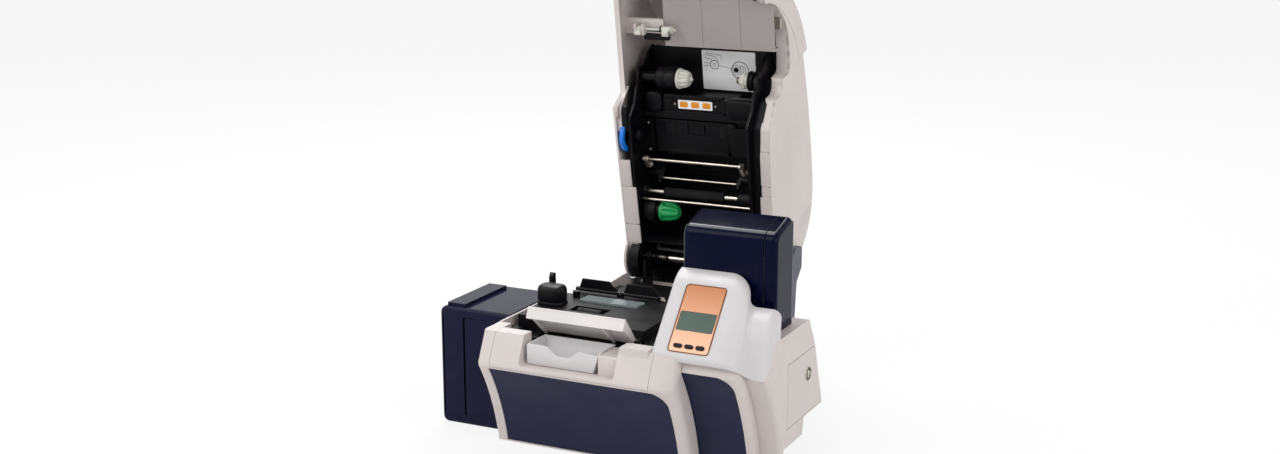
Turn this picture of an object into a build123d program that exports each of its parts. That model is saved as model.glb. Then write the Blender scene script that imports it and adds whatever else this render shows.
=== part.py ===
from build123d import *
import os
from math import atan2, cos, degrees, radians, sin, tan

# An id card printer with its lid open. Millimetres, +Z up, +X to the printer's right, +Y to the rear.
# Positions below are measured from the printer's left side, front line and floor, and the planes
# further down move them to the part's origin, at the middle of its outline on the floor.

# ---- overall sizes
body_width = 230.0  # main body and lid
body_depth = 450.0
feeder_right = 370.0  # right side of the card feeder
bin_width = 106.0  # side bin, to the left of the main body
lid_rear = 528.14  # rearmost point of the open lid
front_reach = 44.83  # foremost point, the rounded chin
lock_proud = 1.0  # the key lock stands out of the feeder's right side
wall = 3.0
side_gap = 0.5  # between housings that stand side by side
clearance = 0.4  # round covers and panels in their openings
running = 0.05  # radial, round a turning shaft
foot_height = 6.0

# ---- curved front, seen from the side (depth, height)
front_foot = (2.0, 3.0)
front_waist = (-12.0, 52.0)
front_chin = (-46.0, 118.0)
front_crest = (-27.0, 158.0)
chin_round = 8.0
chin_lean = 0.55  # how far a higher chin comes forward for each mm of rise
second_front = 37.0  # how far the display module stands behind the main front
feeder_front = 60.0  # and the feeder
second_rise, feeder_rise = 19.0, 14.0  # how much higher their chins are
second_right = 342.0  # right side of the display module
fender_left, fender_right = 237.0, 269.0
column_width = 16.0
frame_back = 12.0  # depth where the front frame meets the main housing
skin_behind = 4.0  # from the frame's face to the skin behind the dark panel
panel_top, panel_bottom = 113.0, 5.0
panel_thickness = 2.6
panel_sunk = 1.2  # panel face behind the frame's face

# ---- hinge and lid
hinge_y, hinge_z = 400.0, 160.0
open_angle = 80.0
shaft_radius = 5.0
lobe_radius = 34.0
lobe_gap = 1.5
rim_gap = 1.5
rim_hinge, rim_step = (-20.0, 34.0), (-28.0, 236.0)  # lid rim (depth n, length d)
rim_front = (1.0, 250.0)
rim_knee = (-27.0, 220.0)  # where the flange behind the rim begins
nose_rim = 3.0
nose_tip = 430.0
lid_back = [(103.0, 6.3), (135.3, 45.3), (141.5, 65.5), (145.0, 95.3), (141.3, 180.0)]
lid_heel = (55.8, -11.9)
lid_shoulder = (126.9, 282.0)
nose_step = (143.7, 285.0)
nose_back = [(135.9, 310.0), (112.8, 352.0), (62.0, 402.0), (27.0, 422.0)]
seam_top, seam_mid, seam_end = (112.0, 279.0), (66.0, 355.0), (10.0, 388.0)
seam = 0.6
skirt_radius = 44.0
skirt_angle = 84.0
skirt_left = 7.0  # clear of the housing's rounded rear corners

s, c = sin(radians(open_angle)), cos(radians(open_angle))
left_x = (bin_width - feeder_right - lock_proud) / 2
front_y = -(lid_rear - front_reach) / 2

os.makedirs("parts", exist_ok=True)


# ---- planes: a point on them is a pair of the sizes above
def side_plane(x):
    """Depth and height, for shapes that run to the right from x."""
    return Plane(origin=(left_x + x, front_y, 0), x_dir=(0, 1, 0), z_dir=(1, 0, 0))


def front_plane(y):
    """Width and height, for shapes that run forward from depth y."""
    return Plane(origin=(left_x, front_y + y, 0), x_dir=(1, 0, 0), z_dir=(0, -1, 0))


def floor_plane(z):
    """Width and depth, for shapes that stand on height z."""
    return Plane(origin=(left_x, front_y, z), x_dir=(1, 0, 0), z_dir=(0, 0, 1))


def lid_side(x):
    """Depth n into the open lid and length d from the hinge, for shapes that run right from x."""
    return Plane(
        origin=(left_x + x, front_y + hinge_y, hinge_z), x_dir=(0, s, c), z_dir=(1, 0, 0)
    )


def lid_face(n):
    """Width and length d on a level n deep in the lid, for shapes that rise towards its mouth."""
    return Plane(
        origin=(left_x, front_y + hinge_y + n * s, hinge_z + n * c),
        x_dir=(1, 0, 0),
        z_dir=(0, -s, -c),
    )


# ---- building blocks, each added to the block that calls it
def slab(plane, low, high, height, radius=0.0, mode=Mode.ADD):
    """A plate from one corner to the other, standing on the plane."""
    width, depth = high[0] - low[0], high[1] - low[1]
    with BuildSketch(plane) as base:
        with Locations(((low[0] + high[0]) / 2, (low[1] + high[1]) / 2)):
            if radius:
                RectangleRounded(width, depth, radius)
            else:
                Rectangle(width, depth)
    extrude(base.sketch, amount=height, mode=mode)


def disc(plane, centre, radius, length, mode=Mode.ADD):
    """A round bar or bore along the plane's normal."""
    with BuildSketch(plane) as base:
        with Locations(centre):
            Circle(radius)
    extrude(base.sketch, amount=length, mode=mode)


def prism(plane, points, length, mode=Mode.ADD):
    """A flat outline given by its corners, run along the plane's normal."""
    with BuildSketch(plane) as base:
        Polygon(*points, align=None)
    extrude(base.sketch, amount=length, mode=mode)


def finish(piece, name):
    piece.part.label = name
    export_step(piece.part, f"parts/{name}.step")


def shifted(point, by):
    return (point[0] + by, point[1])


def front_curve(back, rise=0.0):
    """Foot, waist, chin and crest of a module's front that stands back and has a higher chin."""
    chin = (front_chin[0] + back - chin_lean * rise, front_chin[1] + rise)
    up = front_crest[1] - chin[1]
    crest_lean = (front_crest[0] - front_chin[0]) / (front_crest[1] - front_chin[1])
    crest = (chin[0] + up * crest_lean, front_crest[1])
    return [shifted(front_foot, back), shifted(front_waist, back), chin, crest]


def front_band(x, near, far):
    """Side view between two such fronts."""
    with BuildSketch(side_plane(x)) as band:
        with BuildLine():
            ThreePointArc(*near[:3])
            Polyline(near[2], near[3], far[3], far[2])
            ThreePointArc(*far[:3])
            Line(far[0], near[0])
        make_face()
        for chin in (near[2], far[2]):
            fillet(band.vertices().sort_by_distance(chin)[0], chin_round)
    return band.sketch


def front_block(x, near, back):
    """Side view from such a front to an upright back."""
    with BuildSketch(side_plane(x)) as block:
        with BuildLine():
            ThreePointArc(*near[:3])
            Polyline(near[2], near[3], (back, near[3][1]), (back, near[0][1]), near[0])
        make_face()
        fillet(block.vertices().sort_by_distance(near[2])[0], chin_round)
    return block.sketch


# ================================================================ base and housings
foot_radius = 9.0
foot_spots = [(24, 30), (206, 30), (24, 424), (206, 424), (318, 84)]
back_corner = 10.0

with BuildPart() as base_pan:
    slab(
        floor_plane(foot_height), (wall, frame_back), (body_width - wall, body_depth - wall),
        wall, back_corner - wall,
    )
finish(base_pan, "base_pan")

with BuildPart() as rubber_feet:
    for spot in foot_spots:
        disc(floor_plane(0), spot, foot_radius, foot_height)
finish(rubber_feet, "rubber_feet")

# Rear sockets: mains inlet, rocker switch and two data ports.
inlet_x, switch_x, port_x = 44.0, 84.0, 150.0
port_height = 60.0
inlet_half, inlet_tall = 11.5, 7.5
ports = [(port_x, 6.5), (port_x + 30, 8.5)]  # middle and half width of each data port
port_tall, port_rim = 6.5, 1.5
rocker_depth = 1.4  # the rocker turns about an axis this far behind the rear wall's face
rear_holes = [
    (inlet_x, inlet_half, inlet_tall), (switch_x, 5.5, 9.0),
    *[(x, half, port_tall) for x, half in ports],
]

# The housing's walls stop just under the closed lid's rim and dip round its hinge lobes.
rim_low = hinge_z + rim_step[0] - rim_gap
rim_back = hinge_z + rim_hinge[0] - rim_gap
rim_high = hinge_z + rim_front[0] - rim_gap - 1
rear_top = 148.0
with BuildPart() as main_housing:
    prism(
        side_plane(0),
        [
            (frame_back, foot_height),
            (frame_back, rim_high),
            (hinge_y - rim_front[1] - 2, rim_high),
            (hinge_y - rim_step[1], rim_low),
            (hinge_y - rim_hinge[1], rim_back),
            (hinge_y + lobe_radius, rim_back - 8),
            (body_depth - 12, rear_top),
            (body_depth, rear_top),
            (body_depth, foot_height),
        ],
        body_width,
    )
    disc(side_plane(0), (hinge_y, hinge_z), lobe_radius + lobe_gap, body_width, Mode.SUBTRACT)
    fillet(main_housing.edges().filter_by(Axis.Z).group_by(Axis.Y)[-1], back_corner)
    slab(
        floor_plane(foot_height),
        (wall, frame_back - 20),
        (body_width - wall, body_depth - wall),
        300,
        back_corner - wall,
        Mode.SUBTRACT,
    )
    for x, half, tall in rear_holes:
        slab(
            front_plane(body_depth + 1), (x - half, port_height - tall), (x + half, port_height + tall),
            wall + 2, mode=Mode.SUBTRACT,
        )
finish(main_housing, "main_housing")

# ================================================================ curved front
panel_left, panel_right = column_width - 1, 258.0
panel_corner = 20.0
cut_depth = 140  # well past every front
strip_bottom = panel_top + 3
strip_back = -8.0
fender_round, left_round = 16.0, 4.0


def panel_outline(left, right, grow):
    """Front view of a dark panel or, grown by a gap, of its opening."""
    with BuildSketch(front_plane(70)) as outline:
        with Locations(((left + right) / 2, (panel_bottom + panel_top) / 2)):
            Rectangle(right - left + 2 * grow, panel_top - panel_bottom + 2 * grow)
        fillet(outline.vertices().sort_by(Axis.X)[-2:].sort_by(Axis.Y)[-1], panel_corner + grow)
    return outline.sketch


with BuildPart() as front_panel:
    extrude(
        front_band(
            panel_left, front_curve(panel_sunk), front_curve(panel_sunk + panel_thickness)
        ),
        amount=panel_right - panel_left,
    )
    extrude(panel_outline(panel_left, panel_right, 0), amount=cut_depth, mode=Mode.INTERSECT)
finish(front_panel, "front_panel")

with BuildPart() as front_frame:
    extrude(front_block(0, front_curve(0), frame_back), amount=body_width)
    extrude(
        front_band(body_width, front_curve(0), front_curve(3 * second_front)),
        amount=fender_right - body_width,
    )
    right_edges = front_frame.edges().filter_by_position(
        Axis.X, left_x + fender_right - 0.1, left_x + fender_right + 0.1
    )
    fillet(right_edges.sort_by(Axis.Y)[:3], fender_round)
    left_edges = front_frame.edges().filter_by_position(Axis.X, left_x - 0.1, left_x + 0.1)
    fillet(left_edges.sort_by(Axis.Y)[:3], left_round)
    extrude(
        front_block(body_width, front_curve(second_front, second_rise), 5 * second_front),
        amount=fender_right, mode=Mode.SUBTRACT,
    )
    extrude(panel_outline(panel_left, panel_right, clearance), amount=cut_depth, mode=Mode.SUBTRACT)
    slab(floor_plane(strip_bottom), (column_width + 1, -90), (fender_left, 60), 60, mode=Mode.SUBTRACT)
    extrude(
        front_band(wall, front_curve(skin_behind), front_curve(skin_behind + wall)),
        amount=panel_right,
    )
    slab(floor_plane(strip_bottom), (column_width + 1, -90), (fender_left, 60), 60, mode=Mode.SUBTRACT)
finish(front_frame, "front_frame")

# The light strip over the dark panel has a notch for the output tray and a raised block beside it.
notch_left, notch_right, notch_floor = 58.0, 190.0, 122.0
block_top = 161.0
with BuildPart() as front_strip:
    extrude(
        front_block(column_width + 1 + clearance, front_curve(0), frame_back),
        amount=fender_left - column_width - 1 - 2 * clearance,
    )
    slab(floor_plane(0), (0, -90), (fender_right, 60), strip_bottom + clearance, mode=Mode.SUBTRACT)
    slab(floor_plane(0), (0, strip_back), (fender_right, 60), 200, mode=Mode.SUBTRACT)
    extrude(
        front_block(body_width, front_curve(second_front, second_rise), 5 * second_front),
        amount=fender_right, mode=Mode.SUBTRACT,
    )
    slab(front_plane(10), (notch_left, notch_floor), (notch_right, 190), 100, 5.5, Mode.SUBTRACT)
    slab(
        floor_plane(front_crest[1] - 12), (notch_right + 2, -30), (body_width, strip_back),
        block_top - front_crest[1] + 12,
    )
finish(front_strip, "front_strip")

# ================================================================ display module and feeder
feeder_top = 173.0
feeder_low, feeder_floor = 49.0, 27.0
second_left = body_width + side_gap
second_panel_left, second_panel_right = 238.0, 333.0
second_bottom, second_top = panel_bottom + 4, 136.0
hood_right = 338.0
door_front, door_low, door_high = 74.0, 50.0, 133.0
door_rear_low, door_rear_high = 198.0, 171.0
door_thickness = 2.5
door_pocket = 12.0
lock_spot = (146.0, 102.0)
lock_radius = 5.5
door_pin = (feeder_right - 3.2, door_front + 3.2)
pin_radius, pin_end = 1.5, 4.0
tower_left, tower_right = 233.0, 357.0
tower_front, tower_back = 62.0, 122.0
tower_base = feeder_top
tower_front_top, tower_rear_top = 296.0, 310.0
tower_door_left = 341.0
tower_wall = 2.5
tower_round, tower_edge = 14.0, 6.0
tower_gap = 1.0  # seam between the tower and its door
tower_pin = (tower_right - 5.0, tower_back - 2.8)
roller_axis, roller_radius = (92.0, 166.0), 11.0
pick_shaft = 3.0
pick_pocket = (262.0, 310.0)
pick_ends = (254.0, 318.0)


def second_panel_outline(grow):
    width, height = second_panel_right - second_panel_left, second_top - second_bottom
    with BuildSketch(front_plane(90)) as outline:
        with Locations((second_panel_left + width / 2, second_bottom + height / 2)):
            Rectangle(width + 2 * grow, height + 2 * grow)
        fillet(outline.vertices().sort_by(Axis.X)[-2:].sort_by(Axis.Y)[-1], panel_corner + grow)
    return outline.sketch


with BuildPart() as feeder_panel:
    extrude(
        front_band(
            second_panel_left,
            front_curve(second_front + panel_sunk, second_rise),
            front_curve(second_front + panel_sunk + panel_thickness, second_rise),
        ),
        amount=second_panel_right - second_panel_left,
    )
    extrude(second_panel_outline(0), amount=cut_depth, mode=Mode.INTERSECT)
finish(feeder_panel, "feeder_panel")

with BuildPart() as display_column:
    column_front = front_curve(second_front + side_gap, second_rise)
    extrude(
        front_band(second_left, column_front, front_curve(3 * feeder_front)),
        amount=second_right - second_left,
    )
    column_edges = display_column.edges().filter_by_position(
        Axis.X, left_x + second_right - 0.1, left_x + second_right + 0.1
    )
    fillet(column_edges.sort_by(Axis.Y)[:3], 12)
    extrude(
        front_block(second_left, front_curve(feeder_front - side_gap, feeder_rise), 4 * feeder_front),
        amount=second_right, mode=Mode.SUBTRACT,
    )
    extrude(second_panel_outline(clearance), amount=cut_depth, mode=Mode.SUBTRACT)
    extrude(
        front_band(
            second_left,
            front_curve(second_front + skin_behind, second_rise),
            front_curve(second_front + skin_behind + wall, second_rise),
        ),
        amount=second_panel_right - second_left + 2,
    )
finish(display_column, "display_column")

with BuildPart() as feeder_housing:
    with BuildSketch(side_plane(second_left)) as feeder_side:
        with BuildLine():
            foot, waist, chin, crest = front_curve(feeder_front, feeder_rise)
            ThreePointArc(foot, waist, chin)
            Polyline(
                chin, crest, (crest[0] + 12, feeder_top), (146, feeder_top), (170, 132),
                (198, feeder_low), (133, feeder_low), (128, feeder_floor), (64, feeder_floor),
                (64, foot[1]), foot,
            )
        make_face()
        fillet(feeder_side.vertices().sort_by_distance(chin)[0], chin_round)
    extrude(amount=feeder_right - second_left)
    fillet(feeder_housing.edges().filter_by(Axis.X).sort_by(Axis.Y)[-3:-1], 4)
    feeder_edges = feeder_housing.edges().filter_by_position(
        Axis.X, left_x + feeder_right - 0.1, left_x + feeder_right + 0.1
    )
    fillet(feeder_edges.sort_by(Axis.Y)[:2], 6)
    prism(
        side_plane(feeder_right - door_pocket),
        [
            (door_front - clearance, door_low - clearance),
            (door_front - clearance, door_high + clearance),
            (door_rear_high + 6, door_high + clearance),
            (door_rear_low + 8, door_low - clearance),
        ],
        door_pocket + 1,
        Mode.SUBTRACT,
    )
    disc(
        floor_plane(door_low - pin_end), door_pin, pin_radius + running,
        door_high - door_low + 2 * pin_end, Mode.SUBTRACT,
    )
    slab(floor_plane(foot_height), (238, 66), (334, 126), feeder_floor - foot_height + 1, 6)
    # pocket of the pick roller, bores for its shaft and for the tower door's pin
    slab(
        floor_plane(roller_axis[1] - roller_radius - 2),
        (pick_pocket[0], roller_axis[0] - roller_radius - 3),
        (pick_pocket[1], roller_axis[0] + roller_radius + 3),
        60, 2, Mode.SUBTRACT,
    )
    disc(
        side_plane(pick_ends[0]), roller_axis, pick_shaft + running, pick_ends[1] - pick_ends[0],
        Mode.SUBTRACT,
    )
    disc(floor_plane(tower_base - pin_end), tower_pin, pin_radius + running, 20, Mode.SUBTRACT)
finish(feeder_housing, "feeder_housing")

# The side door hangs on an upright pin at its front edge and carries a key lock.
with BuildPart() as access_door:
    prism(
        side_plane(feeder_right - door_thickness),
        [
            (door_front + 4, door_low + clearance),
            (door_front + 4, door_high - clearance),
            (door_rear_high - 2, door_high - clearance),
            (door_rear_low, door_low + clearance),
        ],
        door_thickness,
    )
    disc(floor_plane(door_low + clearance), door_pin, 3.0, door_high - door_low - 2 * clearance)
    slab(
        floor_plane(door_low + clearance), (feeder_right - door_thickness, door_pin[1]),
        (feeder_right, door_front + 6), door_high - door_low - 2 * clearance,
    )
    disc(floor_plane(door_low), door_pin, pin_radius + running, door_high - door_low, Mode.SUBTRACT)
    disc(side_plane(feeder_right - door_pocket + 2), lock_spot, 9, door_pocket - 2 - door_thickness)
    disc(
        side_plane(feeder_right - door_pocket), lock_spot, lock_radius + running, door_pocket + 1,
        Mode.SUBTRACT,
    )
finish(access_door, "access_door")


with BuildPart() as door_lock:
    disc(
        side_plane(feeder_right - door_pocket + 1), lock_spot, lock_radius,
        door_pocket - 1 + lock_proud,
    )
    slab(
        side_plane(feeder_right - 1), (lock_spot[0] - 1, lock_spot[1] - 3),
        (lock_spot[0] + 1, lock_spot[1] + 3), 2, mode=Mode.SUBTRACT,
    )
finish(door_lock, "door_lock")

# ---- display hood: a sloping face that carries the overlay, with a lower lobe over the feeder
hood_low, hood_high = (-22.0, 162.0), (38.0, 232.0)
hood_rim = front_crest[1] + clearance  # height of the hood's front edge
hood_top, hood_back = 247.0, 61.0
lobe_top, lobe_back = 208.0, 47.0
lobe_front = (14.0, 170.0)
face_tilt = degrees(atan2(hood_high[1] - hood_low[1], hood_high[0] - hood_low[0]))
hood_foot = (hood_low[0] - (hood_low[1] - hood_rim) / tan(radians(face_tilt)), hood_rim)
face_middle = ((hood_low[0] + hood_high[0]) / 2, (hood_low[1] + hood_high[1]) / 2)
overlay_x = 278.0
overlay_width, overlay_height, overlay_thickness = 54.0, 91.0, 2.0
overlay_proud = 0.6
overlay_corner = 5.0
hood_round = 18.0  # the face's roll into its right side
screen_width, screen_height, screen_up = 48.0, 26.0, -4.0
screen_sunk = 0.6
button_gap = 0.25
button_width, button_height, button_down = 11.0, 5.0, 37.0
button_pitch = 14.5
button_names = ["button_left", "button_middle", "button_right"]


def face_plane(rise):
    """The hood's sloping face, origin at the overlay's middle, normal outwards."""
    t = radians(face_tilt)
    return Plane(
        origin=(
            left_x + overlay_x,
            front_y + face_middle[0] - rise * sin(t),
            face_middle[1] + rise * cos(t),
        ),
        x_dir=(1, 0, 0),
        z_dir=(0, -sin(t), cos(t)),
    )


face_axis = Axis((0, 0, 0), tuple(face_plane(0).z_dir))


def button_hole(grow):
    with BuildSketch(face_plane(-12)) as holes:
        for k in (-1, 0, 1):
            with Locations((k * button_pitch, -button_down)):
                SlotOverall(button_width + 2 * grow, button_height + 2 * grow)
    return holes.sketch


feeder_crest = front_curve(feeder_front, feeder_rise)[3][0]
with BuildPart() as display_hood:
    with BuildSketch(side_plane(second_left + 2)) as hood_side:
        with BuildLine():
            slope = Line(hood_foot, hood_high)
            TangentArc(hood_high, (hood_back, hood_top), tangent=slope % 1)
            Polyline(
                (hood_back, hood_top), (hood_back, feeder_top + clearance),
                (feeder_crest + 12 - side_gap, feeder_top + clearance),
                (feeder_crest - side_gap, hood_rim), hood_foot,
            )
        make_face()
    extrude(amount=hood_right - second_left - 2)
    hood_edges = display_hood.edges().filter_by_position(
        Axis.X, left_x + hood_right - 0.1, left_x + hood_right + 0.1
    )
    fillet(hood_edges.filter_by_position(Axis.Z, feeder_top + 10, 300).sort_by(Axis.Y)[:2], hood_round)
    # the face's lower edge over the display module's front
    chin, crest = front_curve(second_front, second_rise)[2:]
    prism(
        side_plane(fender_right + side_gap),
        [hood_foot, (chin[0] - 1, chin[1] + 1), (chin[0], chin[1] + 1), (crest[0] - 0.5, hood_rim)],
        hood_right - fender_right - side_gap,
    )
    # lower lobe over the feeder's front
    with BuildSketch(side_plane(hood_right - 30)) as lobe_side:
        with BuildLine():
            chin, crest = front_curve(feeder_front, feeder_rise)[2:]
            ThreePointArc((chin[0], chin[1] + 1), (lobe_front[0] - 3, 152), lobe_front)
            ThreePointArc(lobe_front, (26, 199), (lobe_back, lobe_top))
            Polyline(
                (lobe_back, lobe_top), (lobe_back, feeder_top + clearance),
                (crest[0] + 12 - side_gap, feeder_top + clearance),
                (crest[0] - side_gap, crest[1] + clearance),
                (chin[0], chin[1] + 1),
            )
        make_face()
    extrude(amount=feeder_right - hood_right + 30)
    extrude(
        front_block(second_left, front_curve(second_front, second_rise), 2 * feeder_front),
        amount=second_right + side_gap - second_left, mode=Mode.SUBTRACT,
    )
    # room for the overlay, its screen and the buttons
    with BuildSketch(face_plane(-overlay_thickness + overlay_proud)) as overlay_room:
        RectangleRounded(
            overlay_width + clearance, overlay_height + clearance, overlay_corner + clearance / 2
        )
    extrude(amount=20, mode=Mode.SUBTRACT)
    extrude(button_hole(button_gap), amount=20, mode=Mode.SUBTRACT)
finish(display_hood, "display_hood")

with BuildPart() as display_overlay:
    with BuildSketch(face_plane(-overlay_thickness + overlay_proud)) as overlay_shape:
        RectangleRounded(overlay_width, overlay_height, overlay_corner)
    extrude(amount=overlay_thickness)
    chamfer(display_overlay.faces().sort_by(face_axis)[-1].edges(), 0.6)
    with BuildSketch(face_plane(-screen_sunk)) as screen_room:
        with Locations((0, screen_up)):
            RectangleRounded(screen_width, screen_height, 2)
    extrude(amount=10, mode=Mode.SUBTRACT)
    extrude(button_hole(button_gap), amount=30, mode=Mode.SUBTRACT)
finish(display_overlay, "display_overlay")

with BuildPart() as screen_window:
    with BuildSketch(face_plane(-screen_sunk)) as screen_shape:
        with Locations((0, screen_up)):
            RectangleRounded(screen_width - 0.2, screen_height - 0.2, 1.9)
    extrude(amount=0.8)
finish(screen_window, "screen_window")

for k, name in enumerate(button_names):
    with BuildPart() as button:
        with BuildSketch(face_plane(-9)) as cap:
            with Locations(((k - 1) * button_pitch, -button_down)):
                SlotOverall(button_width, button_height)
        extrude(amount=9 + 2.2)
    finish(button, name)

# ================================================================ card tower


def tower_side(x, grow=0.0, low=0.0):
    """The tower's side view, drawn in by a wall thickness."""
    with BuildSketch(side_plane(x)) as section:
        Polygon(
            (tower_front + grow, tower_base + low),
            (tower_front + grow, tower_front_top - grow),
            (tower_back - 12, tower_rear_top - grow),
            (tower_back - grow, tower_rear_top - 6 - grow),
            (tower_back - grow, tower_base + low),
            align=None,
        )
        fillet(section.vertices().sort_by(Axis.Y)[2], tower_round - grow)
        fillet(section.vertices().sort_by(Axis.Y)[-1], 4)
    return section.sketch


with BuildPart() as card_tower:
    extrude(tower_side(tower_left), amount=tower_door_left - tower_left - tower_gap)
    left_rim = card_tower.edges().filter_by_position(
        Axis.X, left_x + tower_left - 0.1, left_x + tower_left + 0.1
    )
    fillet(left_rim.filter_by_position(Axis.Z, tower_base + 1, 400), tower_edge)
    extrude(tower_side(tower_left + tower_edge, tower_wall, -1), amount=tower_right, mode=Mode.SUBTRACT)
finish(card_tower, "card_tower")

with BuildPart() as tower_door:
    extrude(tower_side(tower_door_left, 0, clearance), amount=tower_right - tower_door_left)
    right_rim = tower_door.edges().filter_by_position(
        Axis.X, left_x + tower_right - 0.1, left_x + tower_right + 0.1
    )
    fillet(right_rim.filter_by_position(Axis.Z, tower_base + 1, 400), tower_edge)
    extrude(
        tower_side(tower_door_left - 1, tower_wall, -1), amount=tower_right - tower_door_left - 5,
        mode=Mode.SUBTRACT,
    )
    disc(floor_plane(tower_base + clearance), tower_pin, tower_back - tower_pin[1], 112)
    disc(floor_plane(tower_base - 5), tower_pin, pin_radius + running, 200, Mode.SUBTRACT)
finish(tower_door, "tower_door")


weight_low = tower_base + 6
with BuildPart() as card_weight:
    slab(
        floor_plane(weight_low), (tower_left + 7, tower_front + tower_wall + 0.5),
        (tower_door_left - 6, tower_back - tower_wall - 0.5), 8,
    )
    slab(floor_plane(weight_low + 8), (270, 86), (306, 98), 10)
    for x in (242, 318):
        slab(floor_plane(tower_base), (x, 72), (x + 12, 112), 7)
finish(card_weight, "card_weight")

with BuildPart() as pick_roller:
    for x in (266, 292):
        disc(side_plane(x), roller_axis, roller_radius, 14)
    disc(side_plane(266), roller_axis, roller_radius - 3, 40)
    disc(side_plane(pick_ends[0] + 1), roller_axis, pick_shaft, pick_ends[1] - pick_ends[0] - 2)
finish(pick_roller, "pick_roller")

# ================================================================ side bin
bin_left, bin_right = -bin_width, -side_gap
bin_front, bin_back = 36.0, 158.0
bin_top = 160.0
bin_door_left, bin_door_low, bin_door_high = -68.0, 14.0, 148.0
bin_pin = (bin_door_left + 3.0, bin_front + 3.0)
bin_ledge = bin_door_left - 3
with BuildPart() as side_bin:
    slab(front_plane(bin_back), (bin_left, 0), (bin_right, bin_top), bin_back - bin_front, 9)
    slab(front_plane(bin_back), (bin_left / 2, 0), (bin_right, bin_top), bin_back - bin_front)
    front_rim = side_bin.faces().sort_by(Axis.Y)[0].edges()
    fillet(front_rim.filter_by_position(Axis.X, left_x + bin_left - 1, left_x + bin_left + 12), 5)
    slab(
        front_plane(bin_back - wall), (bin_ledge, bin_door_low), (bin_right - wall, bin_door_high),
        200, 2, Mode.SUBTRACT,
    )
    slab(floor_plane(bin_top - 4), (bin_left + 8, bin_front + 8), (bin_ledge, bin_back - 8), 8)
    slab(
        front_plane(bin_front + 3), (bin_left + 4, bin_door_low - 1), (bin_left + 6, bin_door_high), 10,
        mode=Mode.SUBTRACT,
    )
    disc(
        floor_plane(bin_door_low - pin_end), bin_pin, pin_radius + running,
        bin_door_high - bin_door_low + 2 * pin_end, Mode.SUBTRACT,
    )
finish(side_bin, "side_bin")

with BuildPart() as bin_door:
    slab(
        front_plane(bin_front + wall), (bin_door_left, bin_door_low + 0.5),
        (bin_right - wall - 0.5, bin_door_high - 0.5), wall, 2.5,
    )
    disc(floor_plane(bin_door_low + 2), bin_pin, 3, bin_door_high - bin_door_low - 4)
    disc(floor_plane(0), bin_pin, pin_radius + running, 200, Mode.SUBTRACT)
finish(bin_door, "bin_door")


tower_pin_top = 280.0
door_pin_list = [
    (door_pin, door_low - pin_end, door_high + pin_end),
    (tower_pin, tower_base - pin_end, tower_pin_top),
    (bin_pin, bin_door_low - pin_end, bin_door_high + pin_end),
]
with BuildPart() as door_pins:
    for spot, low, high in door_pin_list:
        disc(floor_plane(low), spot, pin_radius, high - low)
finish(door_pins, "door_pins")

# ================================================================ deck, tray and hopper
deck_left, deck_right = wall + 0.5, body_width - wall - 0.5
deck_floor, deck_side, deck_middle, deck_high = 96.0, 126.0, 134.0, 163.0
middle_left, middle_right = 28.0, 192.0
pivot, pivot_radius = (31.0, 149.0), 2.0
hopper_lift = 49.0  # rest slope of the raised hopper cover
hopper_left, hopper_right = 50.0, 186.0
hopper_length, lip_depth = 50.0, 13.0
cover_half, rib_width = 1.2, 2.5  # half the cover's thickness, and its ribs
cheek_spots = (27.0, 186.0)
cheek_width, cheek_radius = 5.0, 13.0
feed_axis, feed_radius, feed_shaft = (94.0, 157.5), 7.0, 2.0
flap_axis, flap_pin_radius = (169.0, 167.0), 1.2
flap_spans = {"guide_flap_left": (31.0, 89.0), "guide_flap_right": (98.0, 150.0)}
lug = 3.0
deck_step = 21.0
catch_left, catch_floor = 23.5, 146.0
drive_low, drive_high, drive_top = (8.0, 88.0), (46.0, 116.5), 189.0
shoulder_top = 147.0  # the deck's levels at the front
ledge_top = 142.0

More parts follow.
